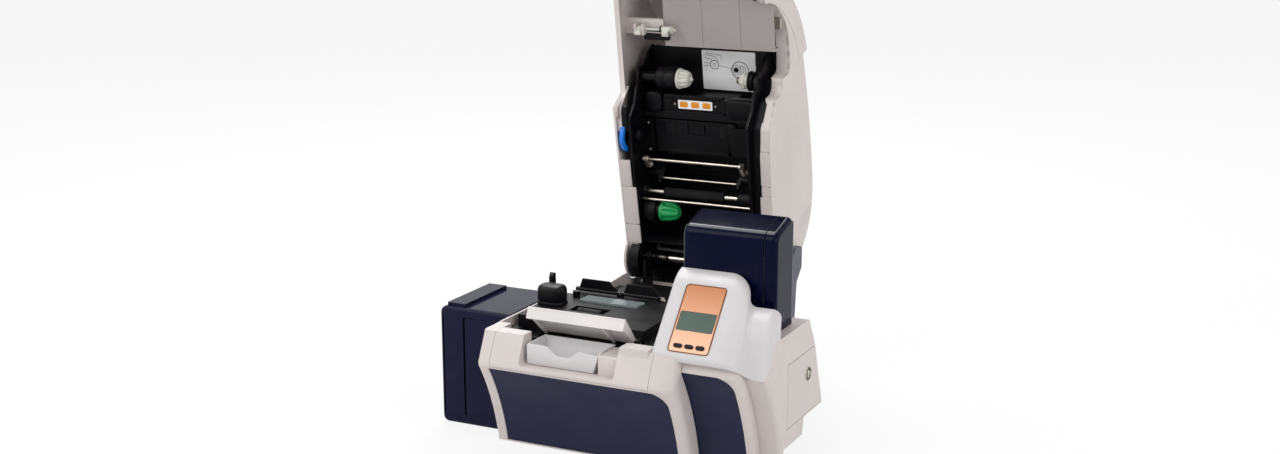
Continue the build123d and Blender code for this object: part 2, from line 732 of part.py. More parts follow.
with BuildPart() as deck_chassis:
    slab(floor_plane(deck_floor), (deck_left, 14), (deck_right, body_depth - back_corner), 3)
    slab(floor_plane(deck_floor), (deck_left, 38), (deck_right, 345), deck_side - deck_floor)
    slab(floor_plane(deck_floor), (middle_left, 38), (middle_right, 345), deck_middle - deck_floor)
    slab(floor_plane(deck_floor), (middle_left, 38), (middle_right, 182), deck_high - deck_floor)
    slab(floor_plane(deck_floor), (12, 38), (middle_left, 156), deck_high - deck_floor)
    slab(floor_plane(deck_floor), (middle_right, 13), (deck_right, 156), shoulder_top - deck_floor)
    slab(floor_plane(deck_floor), (deck_left, 13), (deck_step, 38), shoulder_top - deck_floor)
    slab(floor_plane(deck_floor), (deck_step, 16), (hopper_right + 6, 38), ledge_top - deck_floor)
    for x in (hopper_left + 1, hopper_right + 0.5):
        slab(floor_plane(ledge_top - 2), (x, 22), (x + 4.5, 38), 14)
    disc(side_plane(hopper_left), pivot, pivot_radius + running, 142, Mode.SUBTRACT)
    # sensor recess with the feed roller
    slab(floor_plane(148), (62, 82), (112, 106), 40, mode=Mode.SUBTRACT)
    disc(side_plane(56), feed_axis, feed_shaft + running, 62, Mode.SUBTRACT)
    # lugs of the two guide flaps
    for left, right in flap_spans.values():
        for x in (left - lug - 0.3, right + 0.3):
            slab(
                side_plane(x), (flap_axis[0] - 3, deck_high - 1),
                (flap_axis[0] + 3, flap_axis[1] + 2.5), lug,
            )
            disc(side_plane(x - 0.5), flap_axis, flap_pin_radius + running, lug + 1, Mode.SUBTRACT)
    # catch of the lid's claw
    slab(floor_plane(catch_floor), (catch_left, 42), (catch_left + 12, 76), 40, mode=Mode.SUBTRACT)
    # cheeks of the lid hinge
    for x in cheek_spots:
        slab(side_plane(x), (374, deck_floor), (398, hinge_z), cheek_width)
        disc(side_plane(x), (hinge_y, hinge_z), cheek_radius, cheek_width)
        disc(
            side_plane(x - 1), (hinge_y, hinge_z), shaft_radius + running, cheek_width + 2,
            Mode.SUBTRACT,
        )
    # fin and knob
    prism(
        side_plane(9),
        [(124, deck_side - 1), (126, 190), (129, 197), (132, 196), (136, deck_side - 1)], 7,
    )
    disc(floor_plane(deck_high - 1), (40, 145), 5, 9)
finish(deck_chassis, "deck_chassis")

with BuildPart() as drive_block:
    slab(floor_plane(deck_high), drive_low, drive_high, drive_top - deck_high, 6)
    chamfer(drive_block.faces().sort_by(Axis.Z)[-1].edges(), 3)
finish(drive_block, "drive_block")

with BuildPart() as clear_guide:
    slab(floor_plane(deck_high), (56, 125), (140, 148), 3, 1)
finish(clear_guide, "clear_guide")

with BuildPart() as feed_roller:
    disc(side_plane(70), feed_axis, feed_radius, 34)
    disc(side_plane(57), feed_axis, feed_shaft, 60)
finish(feed_roller, "feed_roller")

for name, (left, right) in flap_spans.items():
    tip = 12 if left < middle_left + 10 else 8
    with BuildPart() as flap:
        with BuildSketch(front_plane(flap_axis[0] + 1.2)) as blade:
            Polygon(
                (left, flap_axis[1] - 2), (left + 6, 182), (right - tip, 182), (right - tip + 5, 176),
                (right, 172), (right, flap_axis[1] - 2), align=None,
            )
        extrude(amount=2.4)
        disc(side_plane(left), flap_axis, 2.6, right - left)
        disc(
            side_plane(left - 1), flap_axis, flap_pin_radius + running, right - left + 2,
            Mode.SUBTRACT,
        )
    finish(flap, name)

with BuildPart() as flap_pins:
    for left, right in flap_spans.values():
        disc(side_plane(left - lug), flap_axis, flap_pin_radius, right - left + 2 * lug)
finish(flap_pins, "flap_pins")

tray_left, tray_right = 64.0, 165.0
tray_front, tray_back, tray_top = -31.0, 14.5, 149.0
tray_wall = 2.5
dip_spot, dip_radius = (113.0, 158.0), 22.0
flutes, flute_pitch = 5, 17.0
with BuildPart() as output_tray:
    slab(
        floor_plane(notch_floor), (tray_left, tray_front), (tray_right, tray_back),
        tray_top - notch_floor,
    )
    slab(
        floor_plane(notch_floor + tray_wall), (tray_left + tray_wall, tray_front + tray_wall),
        (tray_right - tray_wall, tray_back - tray_wall), 60, mode=Mode.SUBTRACT,
    )
    # finger dip in the front wall and flutes up the back
    disc(front_plane(tray_front + 8), dip_spot, dip_radius, 20, Mode.SUBTRACT)
    for k in range(flutes):
        prism(
            side_plane(tray_left + 15 + flute_pitch * k),
            [
                (tray_back - 2, notch_floor + 2), (tray_back - 2, tray_top - 3),
                (tray_back - 16, notch_floor + 2),
            ],
            2,
        )
finish(output_tray, "output_tray")

hopper_slope = radians(hopper_lift)


def hopper_plane(x):
    """Along the raised cover from its pivot and, second, below its plate."""
    return Plane(
        origin=(left_x + x, front_y + pivot[0], pivot[1]),
        x_dir=(0, -cos(hopper_slope), sin(hopper_slope)),
        z_dir=(1, 0, 0),
    )


with BuildPart() as hopper_cover:
    width = hopper_right - hopper_left
    slab(hopper_plane(hopper_left + 6), (0, -cover_half), (hopper_length, cover_half), width - 6)
    prism(
        hopper_plane(hopper_left),
        [
            (hopper_length + 0.5, -cover_half), (hopper_length - 5.5, lip_depth),
            (hopper_length - 8, lip_depth - 1), (hopper_length - 3, -cover_half),
        ],
        width,
    )
    for x in (hopper_left + 6, hopper_right - 33, hopper_right - rib_width):
        prism(
            hopper_plane(x),
            [
                (0, -cover_half), (0, 4), (hopper_length - 6, lip_depth - 2),
                (hopper_length - 2, -cover_half),
            ],
            rib_width,
        )
        disc(hopper_plane(x), (0, 0), 4.2, rib_width)
    disc(hopper_plane(hopper_left - 1), (0, 0), pivot_radius + running, 200, Mode.SUBTRACT)
finish(hopper_cover, "hopper_cover")

with BuildPart() as hopper_pin:
    disc(side_plane(hopper_left + 1), pivot, pivot_radius, hopper_right - hopper_left + 4)
finish(hopper_pin, "hopper_pin")

# ================================================================ lid shell
rim_line = [rim_front, rim_step, rim_hinge]
flange, flange_low = 2.5, 40.0
rim_width = 4.5  # the left rim's flange past the lever, clear of the deck when the lid is shut
right_flange, flange_width = 202.0, body_width - wall - 202.0
plate_left, plate_right = 18.0, 198.0
boss_bore = shaft_radius + running


with BuildPart() as lid_shell:
    with BuildSketch(lid_side(0)) as outline:
        with BuildLine():
            ThreePointArc(lid_heel, *lid_back[:2])
            ThreePointArc(*lid_back[1:4])
            ThreePointArc(*lid_back[3:], lid_shoulder)
            Line(lid_shoulder, seam_top)
            ThreePointArc(seam_top, seam_mid, seam_end)
            Polyline(
                seam_end, (nose_rim, seam_end[1]), *rim_line, (rim_hinge[0], 0), (0, rim_hinge[0]),
                (skirt_radius - 1, lid_heel[1] * skirt_radius / lid_heel[0]), lid_heel,
            )
        make_face()
    extrude(amount=body_width)
    disc(lid_side(0), (0, 0), lobe_radius, body_width)
    with BuildSketch(lid_side(wall)) as hollow:
        with BuildLine():
            heel = (lid_heel[0] - 1, lid_heel[1] + wall)
            inner = [shifted(point, -wall) for point in (*lid_back, lid_shoulder)]
            shoulder = inner[-1]
            ThreePointArc(heel, (lid_back[0][0] - 1.8, lid_back[0][1] + 2.4), inner[1])
            ThreePointArc(*inner[1:4])
            ThreePointArc(*inner[3:])
            Polyline(shoulder, (shoulder[0], 430), (-60, 430), (-60, -60), (20, -60), heel)
        make_face()
    extrude(amount=body_width - 2 * wall, mode=Mode.SUBTRACT)
    # skirt round the hinge
    with BuildSketch(lid_side(skirt_left)) as skirt:
        start = atan2(lid_heel[1], lid_heel[0])
        middle, end = start - radians(skirt_angle / 2), start - radians(skirt_angle)
        turns = (start, middle, end)
        outer = [(skirt_radius * cos(t), skirt_radius * sin(t)) for t in turns]
        inner = [((skirt_radius - 2.5) * cos(t), (skirt_radius - 2.5) * sin(t)) for t in turns]
        with BuildLine():
            ThreePointArc(*outer)
            Line(outer[2], inner[2])
            ThreePointArc(*reversed(inner))
            Line(inner[0], outer[0])
        make_face()
        Polygon(
            inner[0], lid_heel, (lid_heel[0], lid_heel[1] + 4), (inner[0][0], inner[0][1] + 4),
            align=None,
        )
    extrude(amount=body_width - 2 * skirt_left)
    # flanges along the rim; the left one leaves room for the head lever
    lean, rise = rim_step[0] - rim_hinge[0], rim_step[1] - flange_low
    run = [(rim_hinge[0] + lean * t, flange_low + rise * t) for t in (0, 0.6)]
    for left, line in ((wall, run), (right_flange, [run[0], rim_step])):
        prism(
            lid_side(left), [*line, *[shifted(point, flange) for point in reversed(line)]],
            flange_width if left > wall else plate_left - wall,
        )
    for left, width in ((wall, rim_width), (right_flange, flange_width)):
        line = [rim_knee, rim_step, rim_front, (nose_rim, seam_end[1])]
        prism(
            lid_side(left), [*line, *[shifted(point, flange) for point in reversed(line)]], width
        )
finish(lid_shell, "lid_shell")

with BuildPart() as nose_cover:
    with BuildSketch(lid_side(0)) as nose_side:
        with BuildLine():
            gap_shoulder, gap_top, gap_mid, gap_end = [
                (n + seam, d + seam) for n, d in (lid_shoulder, seam_top, seam_mid, seam_end)
            ]
            Polyline(gap_top, gap_shoulder, nose_step)
            ThreePointArc(nose_step, nose_back[0], nose_back[1])
            ThreePointArc(nose_back[1], nose_back[2], (nose_rim, nose_tip))
            Polyline(
                (nose_rim, nose_tip), (nose_rim, gap_end[1]), (gap_end[0] - seam, gap_end[1]),
            )
            ThreePointArc((gap_end[0] - seam, gap_end[1]), gap_mid, gap_top)
        make_face()
    extrude(amount=body_width)
    with BuildSketch(lid_side(wall)) as nose_hollow:
        with BuildLine():
            inner_step = (nose_step[0] - wall, nose_step[1] + wall)
            inner = [(n - wall, d - 2) for n, d in nose_back[:3]]
            ThreePointArc(inner_step, inner[0], inner[1])
            ThreePointArc(inner[1], inner[2], (nose_rim - 1, nose_tip - wall - 1))
            Polyline(
                (nose_rim - 1, nose_tip - wall - 1), (-10, nose_tip - wall - 1), (-10, 300),
                (seam_top[0], nose_step[1] + wall), inner_step,
            )
        make_face()
    extrude(amount=body_width - 2 * wall, mode=Mode.SUBTRACT)
finish(nose_cover, "nose_cover")

# ================================================================ lid mechanism
plate_width = 4.0
plate_back = 72.0
back_thickness = 3.0
supply_spot, takeup_spot = (32.0, 266.0), (10.0, 70.0)
supply_right_spot = (30.0, 270.0)
hub_shaft = 4.0
bail_pivot, bail_spot = (18.0, 138.0), (10.0, 149.0)
rod_spots = [((20.0, 118.0), 1.8), ((-2.0, 92.0), 2.0)]
platen_spot, platen_steel, platen_radius = (10.0, 100.0), 3.5, 7.0
rubber_left, rubber_length = 54.0, 94.0
lever_spot, lever_pin = (-2.0, 189.0), 4.0
lever_left, lever_radius, lever_boss = 7.0, 23.0, 8.0
bore_list = [
    (supply_spot, hub_shaft), (takeup_spot, hub_shaft), (bail_pivot, 2.5),
    (platen_spot, platen_steel), (lever_spot, lever_pin),
]


def side_plate(x):
    """One cheek of the carriage, cut for every shaft that it carries."""
    with BuildPart() as plate:
        with BuildSketch(lid_side(x)) as cheek:
            corner, back = (-20, 219), plate_back + back_thickness
            Polygon(
                (-20, 0), corner, (0, 235), (10, 256), (30, 272), (60, 296), (back, 301),
                (back, 20), (40, 4), (20, -10), align=None,
            )
            with Locations(supply_spot):
                Circle(16)
            fillet(cheek.vertices().sort_by_distance(corner)[0], 8)
        extrude(amount=plate_width)
    return plate.part


with BuildPart() as left_side_plate:
    add(side_plate(plate_left))
    disc(lid_side(8), (0, 0), lobe_radius - 1, plate_left + plate_width - 8)
    disc(lid_side(plate_left + plate_width), platen_spot, 9, 7)
    disc(lid_side(0), (0, 0), boss_bore, 40, Mode.SUBTRACT)
    for spot, radius in bore_list:
        disc(lid_side(0), spot, radius + running, 60, Mode.SUBTRACT)
finish(left_side_plate, "left_side_plate")

with BuildPart() as right_side_plate:
    add(side_plate(plate_right))
    disc(lid_side(plate_right), (0, 0), 22, 14)
    disc(lid_side(171), platen_spot, 10, plate_right - 171)
    disc(lid_side(150), (0, 0), boss_bore, 80, Mode.SUBTRACT)
    for spot, radius in bore_list:
        if spot != lever_spot and spot != supply_spot:
            disc(lid_side(160), spot, radius + running, 60, Mode.SUBTRACT)
    disc(lid_side(160), supply_right_spot, hub_shaft + running, 60, Mode.SUBTRACT)
finish(right_side_plate, "right_side_plate")

inner_left, inner_right = plate_left + plate_width, plate_right
with BuildPart() as back_plate:
    slab(lid_face(plate_back + back_thickness), (inner_left, 22), (inner_right, 300), back_thickness)
    for d in (60, 110, 146):
        slab(lid_face(plate_back), (inner_left + 10, d), (inner_right - 10, d + 3), 6)
    prism(
        lid_side(inner_left),
        [(plate_back, 26), (plate_back + back_thickness, 22), (46, -2), (43, 0)],
        inner_right - inner_left,
    )
finish(back_plate, "back_plate")

with BuildPart() as instruction_plate:
    slab(lid_face(plate_back), (98, 240), (180, 298), 1.0, 2)
finish(instruction_plate, "instruction_plate")

head_face, bar_face = 34.0, 31.0  # how deep in the lid the head's and the cross bar's faces stand
with BuildPart() as printhead_module:
    slab(lid_face(plate_back), (inner_left, 153), (inner_right, 207), plate_back - head_face)
    slab(lid_face(head_face), (38, 155), (150, 205), 6)
    slab(lid_face(28.5), (44, 159), (144, 178), 10, mode=Mode.SUBTRACT)
    for left, right in ((44, 84), (88, 110), (114, 144)):
        slab(lid_face(30), (left, 183), (right, 201), 10, mode=Mode.SUBTRACT)
    slab(lid_face(head_face), (156, 158), (188, 200), 10, 4)
    slab(lid_face(head_face), (inner_left, 156), (36, 205), 12)
finish(printhead_module, "printhead_module")

with BuildPart() as cross_bar:
    slab(lid_face(36), (inner_left, 208), (inner_right, 217), 10)
    slab(lid_face(plate_back), (40, 218), (160, 237), plate_back - bar_face, 3)
    slab(lid_face(36), (60, 212), (140, 222), 5)
    for x in (66, 136):
        disc(lid_face(bar_face), (x, 228), 2.4, 1.2)
finish(cross_bar, "cross_bar")

with BuildPart() as caution_plate:
    slab(lid_face(bar_face), (75, 222), (128, 235), 1.0, 1.5)
finish(caution_plate, "caution_plate")

with BuildPart() as bail:
    disc(lid_side(29), bail_spot, 2.5, 149)
    for x, pin in ((28, (inner_left - 3, 28)), (175, (178, inner_right + 3))):
        with BuildSketch(lid_side(x)) as arm:
            with BuildLine():
                Line(bail_pivot, bail_spot)
            ends = [Location(spot) for spot in (bail_pivot, bail_spot)]
            make_hull([Circle(4.5, mode=Mode.PRIVATE).moved(end).edge() for end in ends])
        extrude(arm.sketch, amount=3)
        disc(lid_side(pin[0]), bail_pivot, 2.5, pin[1] - pin[0])
finish(bail, "bail")

with BuildPart() as guide_rods:
    for spot, radius in rod_spots:
        disc(lid_side(inner_left), spot, radius, inner_right - inner_left)
finish(guide_rods, "guide_rods")

with BuildPart() as platen_shaft:
    disc(lid_side(plate_left + 1), platen_spot, platen_steel, plate_right + plate_width - plate_left - 2)
finish(platen_shaft, "platen_shaft")

with BuildPart() as platen_rubber:
    disc(lid_side(rubber_left), platen_spot, platen_radius, rubber_length)
    disc(lid_side(rubber_left), platen_spot, platen_steel, rubber_length, Mode.SUBTRACT)
finish(platen_rubber, "platen_rubber")


def cone(x, spot, length, radius, tip):
    """A tapered core drive, on a plane that looks right."""
    with BuildSketch(lid_side(x)) as base:
        with Locations(spot):
            Circle(radius)
    with BuildSketch(lid_side(x + length)) as nose:
        with Locations(spot):
            Circle(tip)
    loft([base.sketch, nose.sketch])


with BuildPart() as supply_hub_left:
    disc(lid_side(plate_left), supply_spot, hub_shaft, 50)
    disc(lid_side(inner_left + 0.5), supply_spot, 8, 54 - inner_left)
    disc(lid_side(54), supply_spot, 17, 14)
    cone(68, supply_spot, 24, 15, 10)
    disc(lid_side(90), supply_spot, 4, 8)
finish(supply_hub_left, "supply_hub_left")

with BuildPart() as supply_hub_right:
    disc(lid_side(174), supply_right_spot, 12, 16)
    disc(lid_side(168), supply_right_spot, 7, 8)
    disc(lid_side(174), supply_right_spot, hub_shaft, plate_right + plate_width - 175)
finish(supply_hub_right, "supply_hub_right")

with BuildPart() as takeup_hub_left:
    disc(lid_side(plate_left), takeup_spot, hub_shaft, 30)
    disc(lid_side(inner_left + 0.5), takeup_spot, 19.5, 22)
    cone(45, takeup_spot, 26, 13, 8)
finish(takeup_hub_left, "takeup_hub_left")

with BuildPart() as takeup_hub_right:
    disc(lid_side(152), takeup_spot, 12, 20)
    disc(lid_side(160), takeup_spot, hub_shaft, plate_right + plate_width - 161)
finish(takeup_hub_right, "takeup_hub_right")

with BuildPart() as head_lever:
    # an arc that opens towards the lid's inside, a boss and the spoke between them
    with BuildSketch(lid_side(lever_left)) as sector:
        with Locations((-8, lever_spot[1])):
            Circle(lever_radius)
            Circle(lever_radius - 8, mode=Mode.SUBTRACT)
            with Locations((18, 0)):
                Rectangle(30, 50, mode=Mode.SUBTRACT)
        with Locations(lever_spot):
            Circle(lever_boss)
        with Locations((-14, lever_spot[1])):
            Rectangle(20, 9)
    extrude(amount=7)
    disc(lid_side(12), lever_spot, lever_boss, plate_left - 12.5)
    disc(lid_side(12), lever_spot, lever_pin, 20)
    disc(lid_side(inner_left + 0.5), lever_spot, 9, 7)
finish(head_lever, "head_lever")

with BuildPart() as hinge_shaft:
    disc(lid_side(wall + 1), (0, 0), shaft_radius, body_width - 2 * wall - 2)
finish(hinge_shaft, "hinge_shaft")

liner_left = 62.0
with BuildPart() as nose_liner:
    slab(lid_face(32.5), (liner_left, 316), (body_width - wall, 415), 2.5)
    slab(lid_face(46), (liner_left, 314), (body_width - wall, 316.5), 16)
    for x in (120, 177):
        slab(lid_face(30.5), (x, 318), (x + 2, 400), 5, mode=Mode.SUBTRACT)
finish(nose_liner, "nose_liner")

claw_spot, claw_pin = (20.0, 340.0), 2.0
with BuildPart() as latch_bracket:
    slab(lid_face(34), (wall, 330), (liner_left, 352), 6)
    for x in (22, 34):
        slab(lid_side(x), (14, 332), (30, 348), 3)
    disc(lid_side(20), claw_spot, claw_pin + running, 20, Mode.SUBTRACT)
finish(latch_bracket, "latch_bracket")

with BuildPart() as latch_claw:
    disc(lid_side(25.5), claw_spot, 5, 8)
    disc(lid_side(22), claw_spot, claw_pin, 15)
    prism(lid_side(26.5), [(24, 337), (24, 343), (6, 346), (-6, 338), (-2, 336), (8, 340)], 6)
finish(latch_claw, "latch_claw")

# ================================================================ rear of the body
with BuildPart() as hinge_bracket:
    prism(
        side_plane(second_left),
        [(402, 60), (440, 60), (448, 134), (467, 152), (467, 184), (440, 184), (402, 150)],
        8,
    )
    fillet(hinge_bracket.edges().filter_by(Axis.X).sort_by(Axis.Z)[-3:-1], 6)
finish(hinge_bracket, "hinge_bracket")

with BuildPart() as power_inlet:
    for y, grow, length, radius, mode in (
        (body_depth + 2, 2.5, 2, 2, Mode.ADD),
        (body_depth, 0, 14, 0, Mode.ADD),
        (body_depth + 3, -2, 15, 2, Mode.SUBTRACT),
    ):
        slab(
            front_plane(y), (inlet_x - inlet_half - grow, port_height - inlet_tall - grow),
            (inlet_x + inlet_half + grow, port_height + inlet_tall + grow), length, radius, mode,
        )
    for x, z in ((-5, -2), (0, 2), (5, -2)):
        slab(
            front_plane(body_depth - 5), (inlet_x + x - 1, port_height + z - 2),
            (inlet_x + x + 1, port_height + z + 2), 8,
        )
finish(power_inlet, "power_inlet")

with BuildPart() as power_switch:
    with BuildSketch(side_plane(switch_x - 5)) as rocker:
        Polygon(
            (body_depth - 2.6, port_height - 8.5), (body_depth + 2.2, port_height - 8.5),
            (body_depth + 0.8, port_height), (body_depth + 4.2, port_height + 8.5),
            (body_depth - 2.6, port_height + 8.5), align=None,
        )
    extrude(amount=10)
    disc(side_plane(switch_x - 5), (body_depth - rocker_depth, port_height), rocker_depth, 10)
finish(power_switch, "power_switch")

with BuildPart() as data_ports:
    for x, half in ports:
        slab(
            front_plane(body_depth), (x - half, port_height - port_tall),
            (x + half, port_height + port_tall), 12,
        )
        slab(
            front_plane(body_depth + 1), (x - half + port_rim, port_height - port_tall + port_rim),
            (x + half - port_rim, port_height + port_tall - port_rim), 10, mode=Mode.SUBTRACT,
        )
finish(data_ports, "data_ports")
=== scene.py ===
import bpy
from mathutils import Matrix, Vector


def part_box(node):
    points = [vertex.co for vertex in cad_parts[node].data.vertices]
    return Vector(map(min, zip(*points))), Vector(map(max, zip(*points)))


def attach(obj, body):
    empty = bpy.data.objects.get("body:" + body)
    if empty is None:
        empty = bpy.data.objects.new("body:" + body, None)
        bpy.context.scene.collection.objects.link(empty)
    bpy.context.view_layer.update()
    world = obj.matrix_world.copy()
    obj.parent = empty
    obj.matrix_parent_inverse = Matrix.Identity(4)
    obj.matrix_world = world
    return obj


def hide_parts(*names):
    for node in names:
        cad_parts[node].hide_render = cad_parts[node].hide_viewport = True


bl_info = {
    "name": "ID card printer",
    "version": (1, 0, 0),
    "blender": (4, 5, 0),
    "location": "3D View > Sidebar > Card printer",
    "description": "Looks of an id card printer with an open lid, built round its packed frame",
    "category": "Object",
}

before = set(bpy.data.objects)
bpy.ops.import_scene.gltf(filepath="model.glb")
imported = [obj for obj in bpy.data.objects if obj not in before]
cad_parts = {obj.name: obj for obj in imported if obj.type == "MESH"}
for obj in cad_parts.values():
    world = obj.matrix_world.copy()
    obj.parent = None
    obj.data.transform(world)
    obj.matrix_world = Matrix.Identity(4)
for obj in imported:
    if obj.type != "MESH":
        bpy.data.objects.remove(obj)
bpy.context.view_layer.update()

from math import cos, pi, radians, sin, tan

import bmesh
import bpy
import numpy as np
from bpy.props import FloatProperty, FloatVectorProperty, PointerProperty
from mathutils import Vector

# Places below are in millimetres from the printer's left side, front line and floor, as on its
# drawings. base_pan says where that corner lies in the frame.
pan_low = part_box("base_pan")[0]
CORNER = np.array([pan_low.x * 1000 - 3.0, pan_low.y * 1000 - 12.0, 0.0])
HINGE = np.array([400.0, 160.0])
OPEN = radians(80.0)


def srgb(red, green, blue):
    """Linear colour of a colour written as 0-255 display values."""
    c = np.array([red, green, blue]) / 255.0
    return tuple(np.where(c <= 0.04045, c / 12.92, ((c + 0.055) / 1.055) ** 2.4))


# ---------------------------------------------------------------- user's sizes and colours
def colour(name, description, default):
    return FloatVectorProperty(
        name=name, description=description, default=default, size=3, min=0.0, max=1.0, subtype="COLOR"
    )


class PrinterColours(bpy.types.PropertyGroup):
    """Colours of the printer's plastics, metals and printed parts."""

    body: colour("Body", "Warm light grey of the housings and the lid", srgb(209, 200, 197))
    hood: colour("Hood", "White of the display hood", srgb(211, 208, 209))
    panel: colour("Front panels", "Matt navy of the two front panels", srgb(36, 39, 63))
    tower: colour("Card tower", "Deep glossy navy of the card tower", srgb(1, 4, 35))
    side_box: colour("Side bin", "Dark navy of the bin at the left", srgb(28, 28, 52))
    slate: colour("Slate", "Grey blue of the bracket behind the feeder", srgb(62, 62, 82))
    black: colour("Mechanism", "Black of the moulded mechanism", srgb(9, 7, 11))
    steel: colour("Steel", "Rods, shafts and small brackets", srgb(196, 188, 176))
    rubber: colour("Rubber", "Feet and rollers", srgb(22, 20, 21))
    lever: colour("Lever", "Blue head release lever", srgb(14, 122, 222))
    green_hub: colour("Take-up hub", "Green ribbon hub", srgb(16, 155, 82))
    white_hub: colour("Supply hub", "White ribbon hubs", srgb(205, 205, 196))
    overlay: colour("Overlay", "Copper film round the display", srgb(200, 122, 70))
    screen: colour("Screen", "Grey green of the switched-on display", srgb(76, 96, 84))
    label: colour("Plates", "White printed plates", srgb(250, 250, 250))
    cover: colour("Hopper cover", "Paler grey of the raised hopper cover", srgb(222, 217, 216))
    # Painted shade: the liner's default is darker than its own light grey, to stand for the shade under the lid's nose.
    liner: colour("Liner", "Shaded grey of the panel under the lid's nose", srgb(156, 149, 147))
    marks: colour("Marks", "Orange blocks on the small plate", srgb(236, 148, 30))


class StageSettings(bpy.types.PropertyGroup):
    """Camera and lights of the plain studio."""

    eye: FloatVectorProperty(
        name="Eye", description="Place of the camera", default=(0.9395, -2.01565, 0.763), size=3,
        subtype="TRANSLATION", unit="LENGTH",
    )
    azimuth: FloatProperty(
        name="Azimuth", description="How far the camera is turned to the left of straight back",
        default=radians(26.04), subtype="ANGLE", unit="ROTATION",
    )
    pitch: FloatProperty(
        name="Pitch", description="How far the camera looks down", default=radians(13.21),
        subtype="ANGLE", unit="ROTATION",
    )
    lens: FloatProperty(
        name="Lens", description="Focal length on a 36 mm wide picture", default=47.53, unit="CAMERA"
    )
    rise: FloatProperty(
        name="Rise", description="Upward shift of the view as a share of its width", default=0.0036
    )
    ambient: FloatProperty(
        name="Ambient", description="Strength of the even light from all round", default=0.62, min=0.0
    )


# ---------------------------------------------------------------- materials
class Recipe:
    """One material's nodes, with short words for the few kinds that the finishes are made of."""

    def __init__(self, name):
        self.material = bpy.data.materials.new(name)
        self.material.use_nodes = True
        self.tree = self.material.node_tree
        self.shader = self.tree.nodes["Principled BSDF"]
        self.place = self.node("ShaderNodeTexCoord").outputs["Object"]

    def node(self, kind, **values):
        made = self.tree.nodes.new(kind)
        for key, value in values.items():
            setattr(made, key, value)
        return made

    def join(self, source, socket):
        self.tree.links.new(source, socket)

    def noise(self, scale, detail=2.0, stretch=None):
        """Soft spots of a size of about 1/scale metres, drawn out along an axis by stretch."""
        made = self.node("ShaderNodeTexNoise")
        made.inputs["Scale"].default_value = scale
        made.inputs["Detail"].default_value = detail
        source = self.place
        if stretch:
            mapping = self.node("ShaderNodeMapping")
            mapping.inputs["Scale"].default_value = stretch
            self.join(source, mapping.inputs["Vector"])
            source = mapping.outputs["Vector"]
        self.join(source, made.inputs["Vector"])
        return made.outputs["Fac"]

    def ranged(self, source, low, high, start=0.0, end=1.0):
        """The source's start to end drawn out to low to high."""
        made = self.node("ShaderNodeMapRange")
        for socket, value in zip(("From Min", "From Max", "To Min", "To Max"), (start, end, low, high)):
            made.inputs[socket].default_value = value
        self.join(source, made.inputs["Value"])
        return made.outputs["Result"]

    def mixed(self, amount, first, second):
        """A colour between two others, each a value or an output."""
        made = self.node("ShaderNodeMix", data_type="RGBA")
        for socket, value in ((made.inputs[6], first), (made.inputs[7], second)):
            if isinstance(value, tuple):
                socket.default_value = (*value, 1.0)
            else:
                self.join(value, socket)
        self.join(amount, made.inputs[0])
        return made.outputs[2]

    def edges(self, radius=0.0012):
        """1 on sharp outer and inner edges, 0 on flat faces: how far a rounded normal leaves the true one."""
        rounded = self.node("ShaderNodeBevel", samples=4)
        rounded.inputs["Radius"].default_value = radius
        true = self.node("ShaderNodeNewGeometry")
        dot = self.node("ShaderNodeVectorMath", operation="DOT_PRODUCT")
        self.join(rounded.outputs["Normal"], dot.inputs[0])
        self.join(true.outputs["Normal"], dot.inputs[1])
        return self.ranged(dot.outputs["Value"], 1.0, 0.0, 0.86, 1.0)

    def relief(self, height, strength, distance, edge=0.0006):
        """Bump on top of a normal that rounds every sharp edge by a hair."""
        bump = self.node("ShaderNodeBump")
        bump.inputs["Strength"].default_value = strength
        bump.inputs["Distance"].default_value = distance
        self.join(height, bump.inputs["Height"])
        if edge:
            rounded = self.node("ShaderNodeBevel", samples=4)
            rounded.inputs["Radius"].default_value = edge
            self.join(rounded.outputs["Normal"], bump.inputs["Normal"])
        self.join(bump.outputs["Normal"], self.shader.inputs["Normal"])

    def set(self, **sockets):
        for key, value in sockets.items():
            self.shader.inputs[key.replace("_", " ")].default_value = value


def scaled(tone, by):
    return tuple(min(1.0, channel * by) for channel in tone)


def moulded(name, tone, rough, grain=0.12, worn=0.25, specular=0.5, cloud=0.05):
    """Moulded plastic: faint clouds of tone, spark-eroded grain, rubbed lighter edges."""
    recipe = Recipe(name)
    clouds = recipe.ranged(recipe.noise(9.0, 3.0), 0.0, 1.0, 0.3, 0.7)
    base = recipe.mixed(clouds, scaled(tone, 1 - cloud), scaled(tone, 1 + cloud))
    light = tuple(min(1.0, channel * 1.25 + 0.02) for channel in tone)
    rub = recipe.node("ShaderNodeMath", operation="MULTIPLY")
    recipe.join(recipe.edges(), rub.inputs[0])
    recipe.join(recipe.ranged(recipe.noise(60.0, 4.0), 0.0, worn, 0.42, 0.68), rub.inputs[1])
    recipe.join(recipe.mixed(rub.outputs[0], base, light), recipe.shader.inputs["Base Color"])
    recipe.join(
        recipe.ranged(recipe.noise(35.0, 4.0), rough * 0.85, rough * 1.18, 0.3, 0.7),
        recipe.shader.inputs["Roughness"],
    )
    recipe.relief(recipe.noise(1500.0, 2.0), grain, 0.0002)
    recipe.set(Specular_IOR_Level=specular)
    return recipe.material


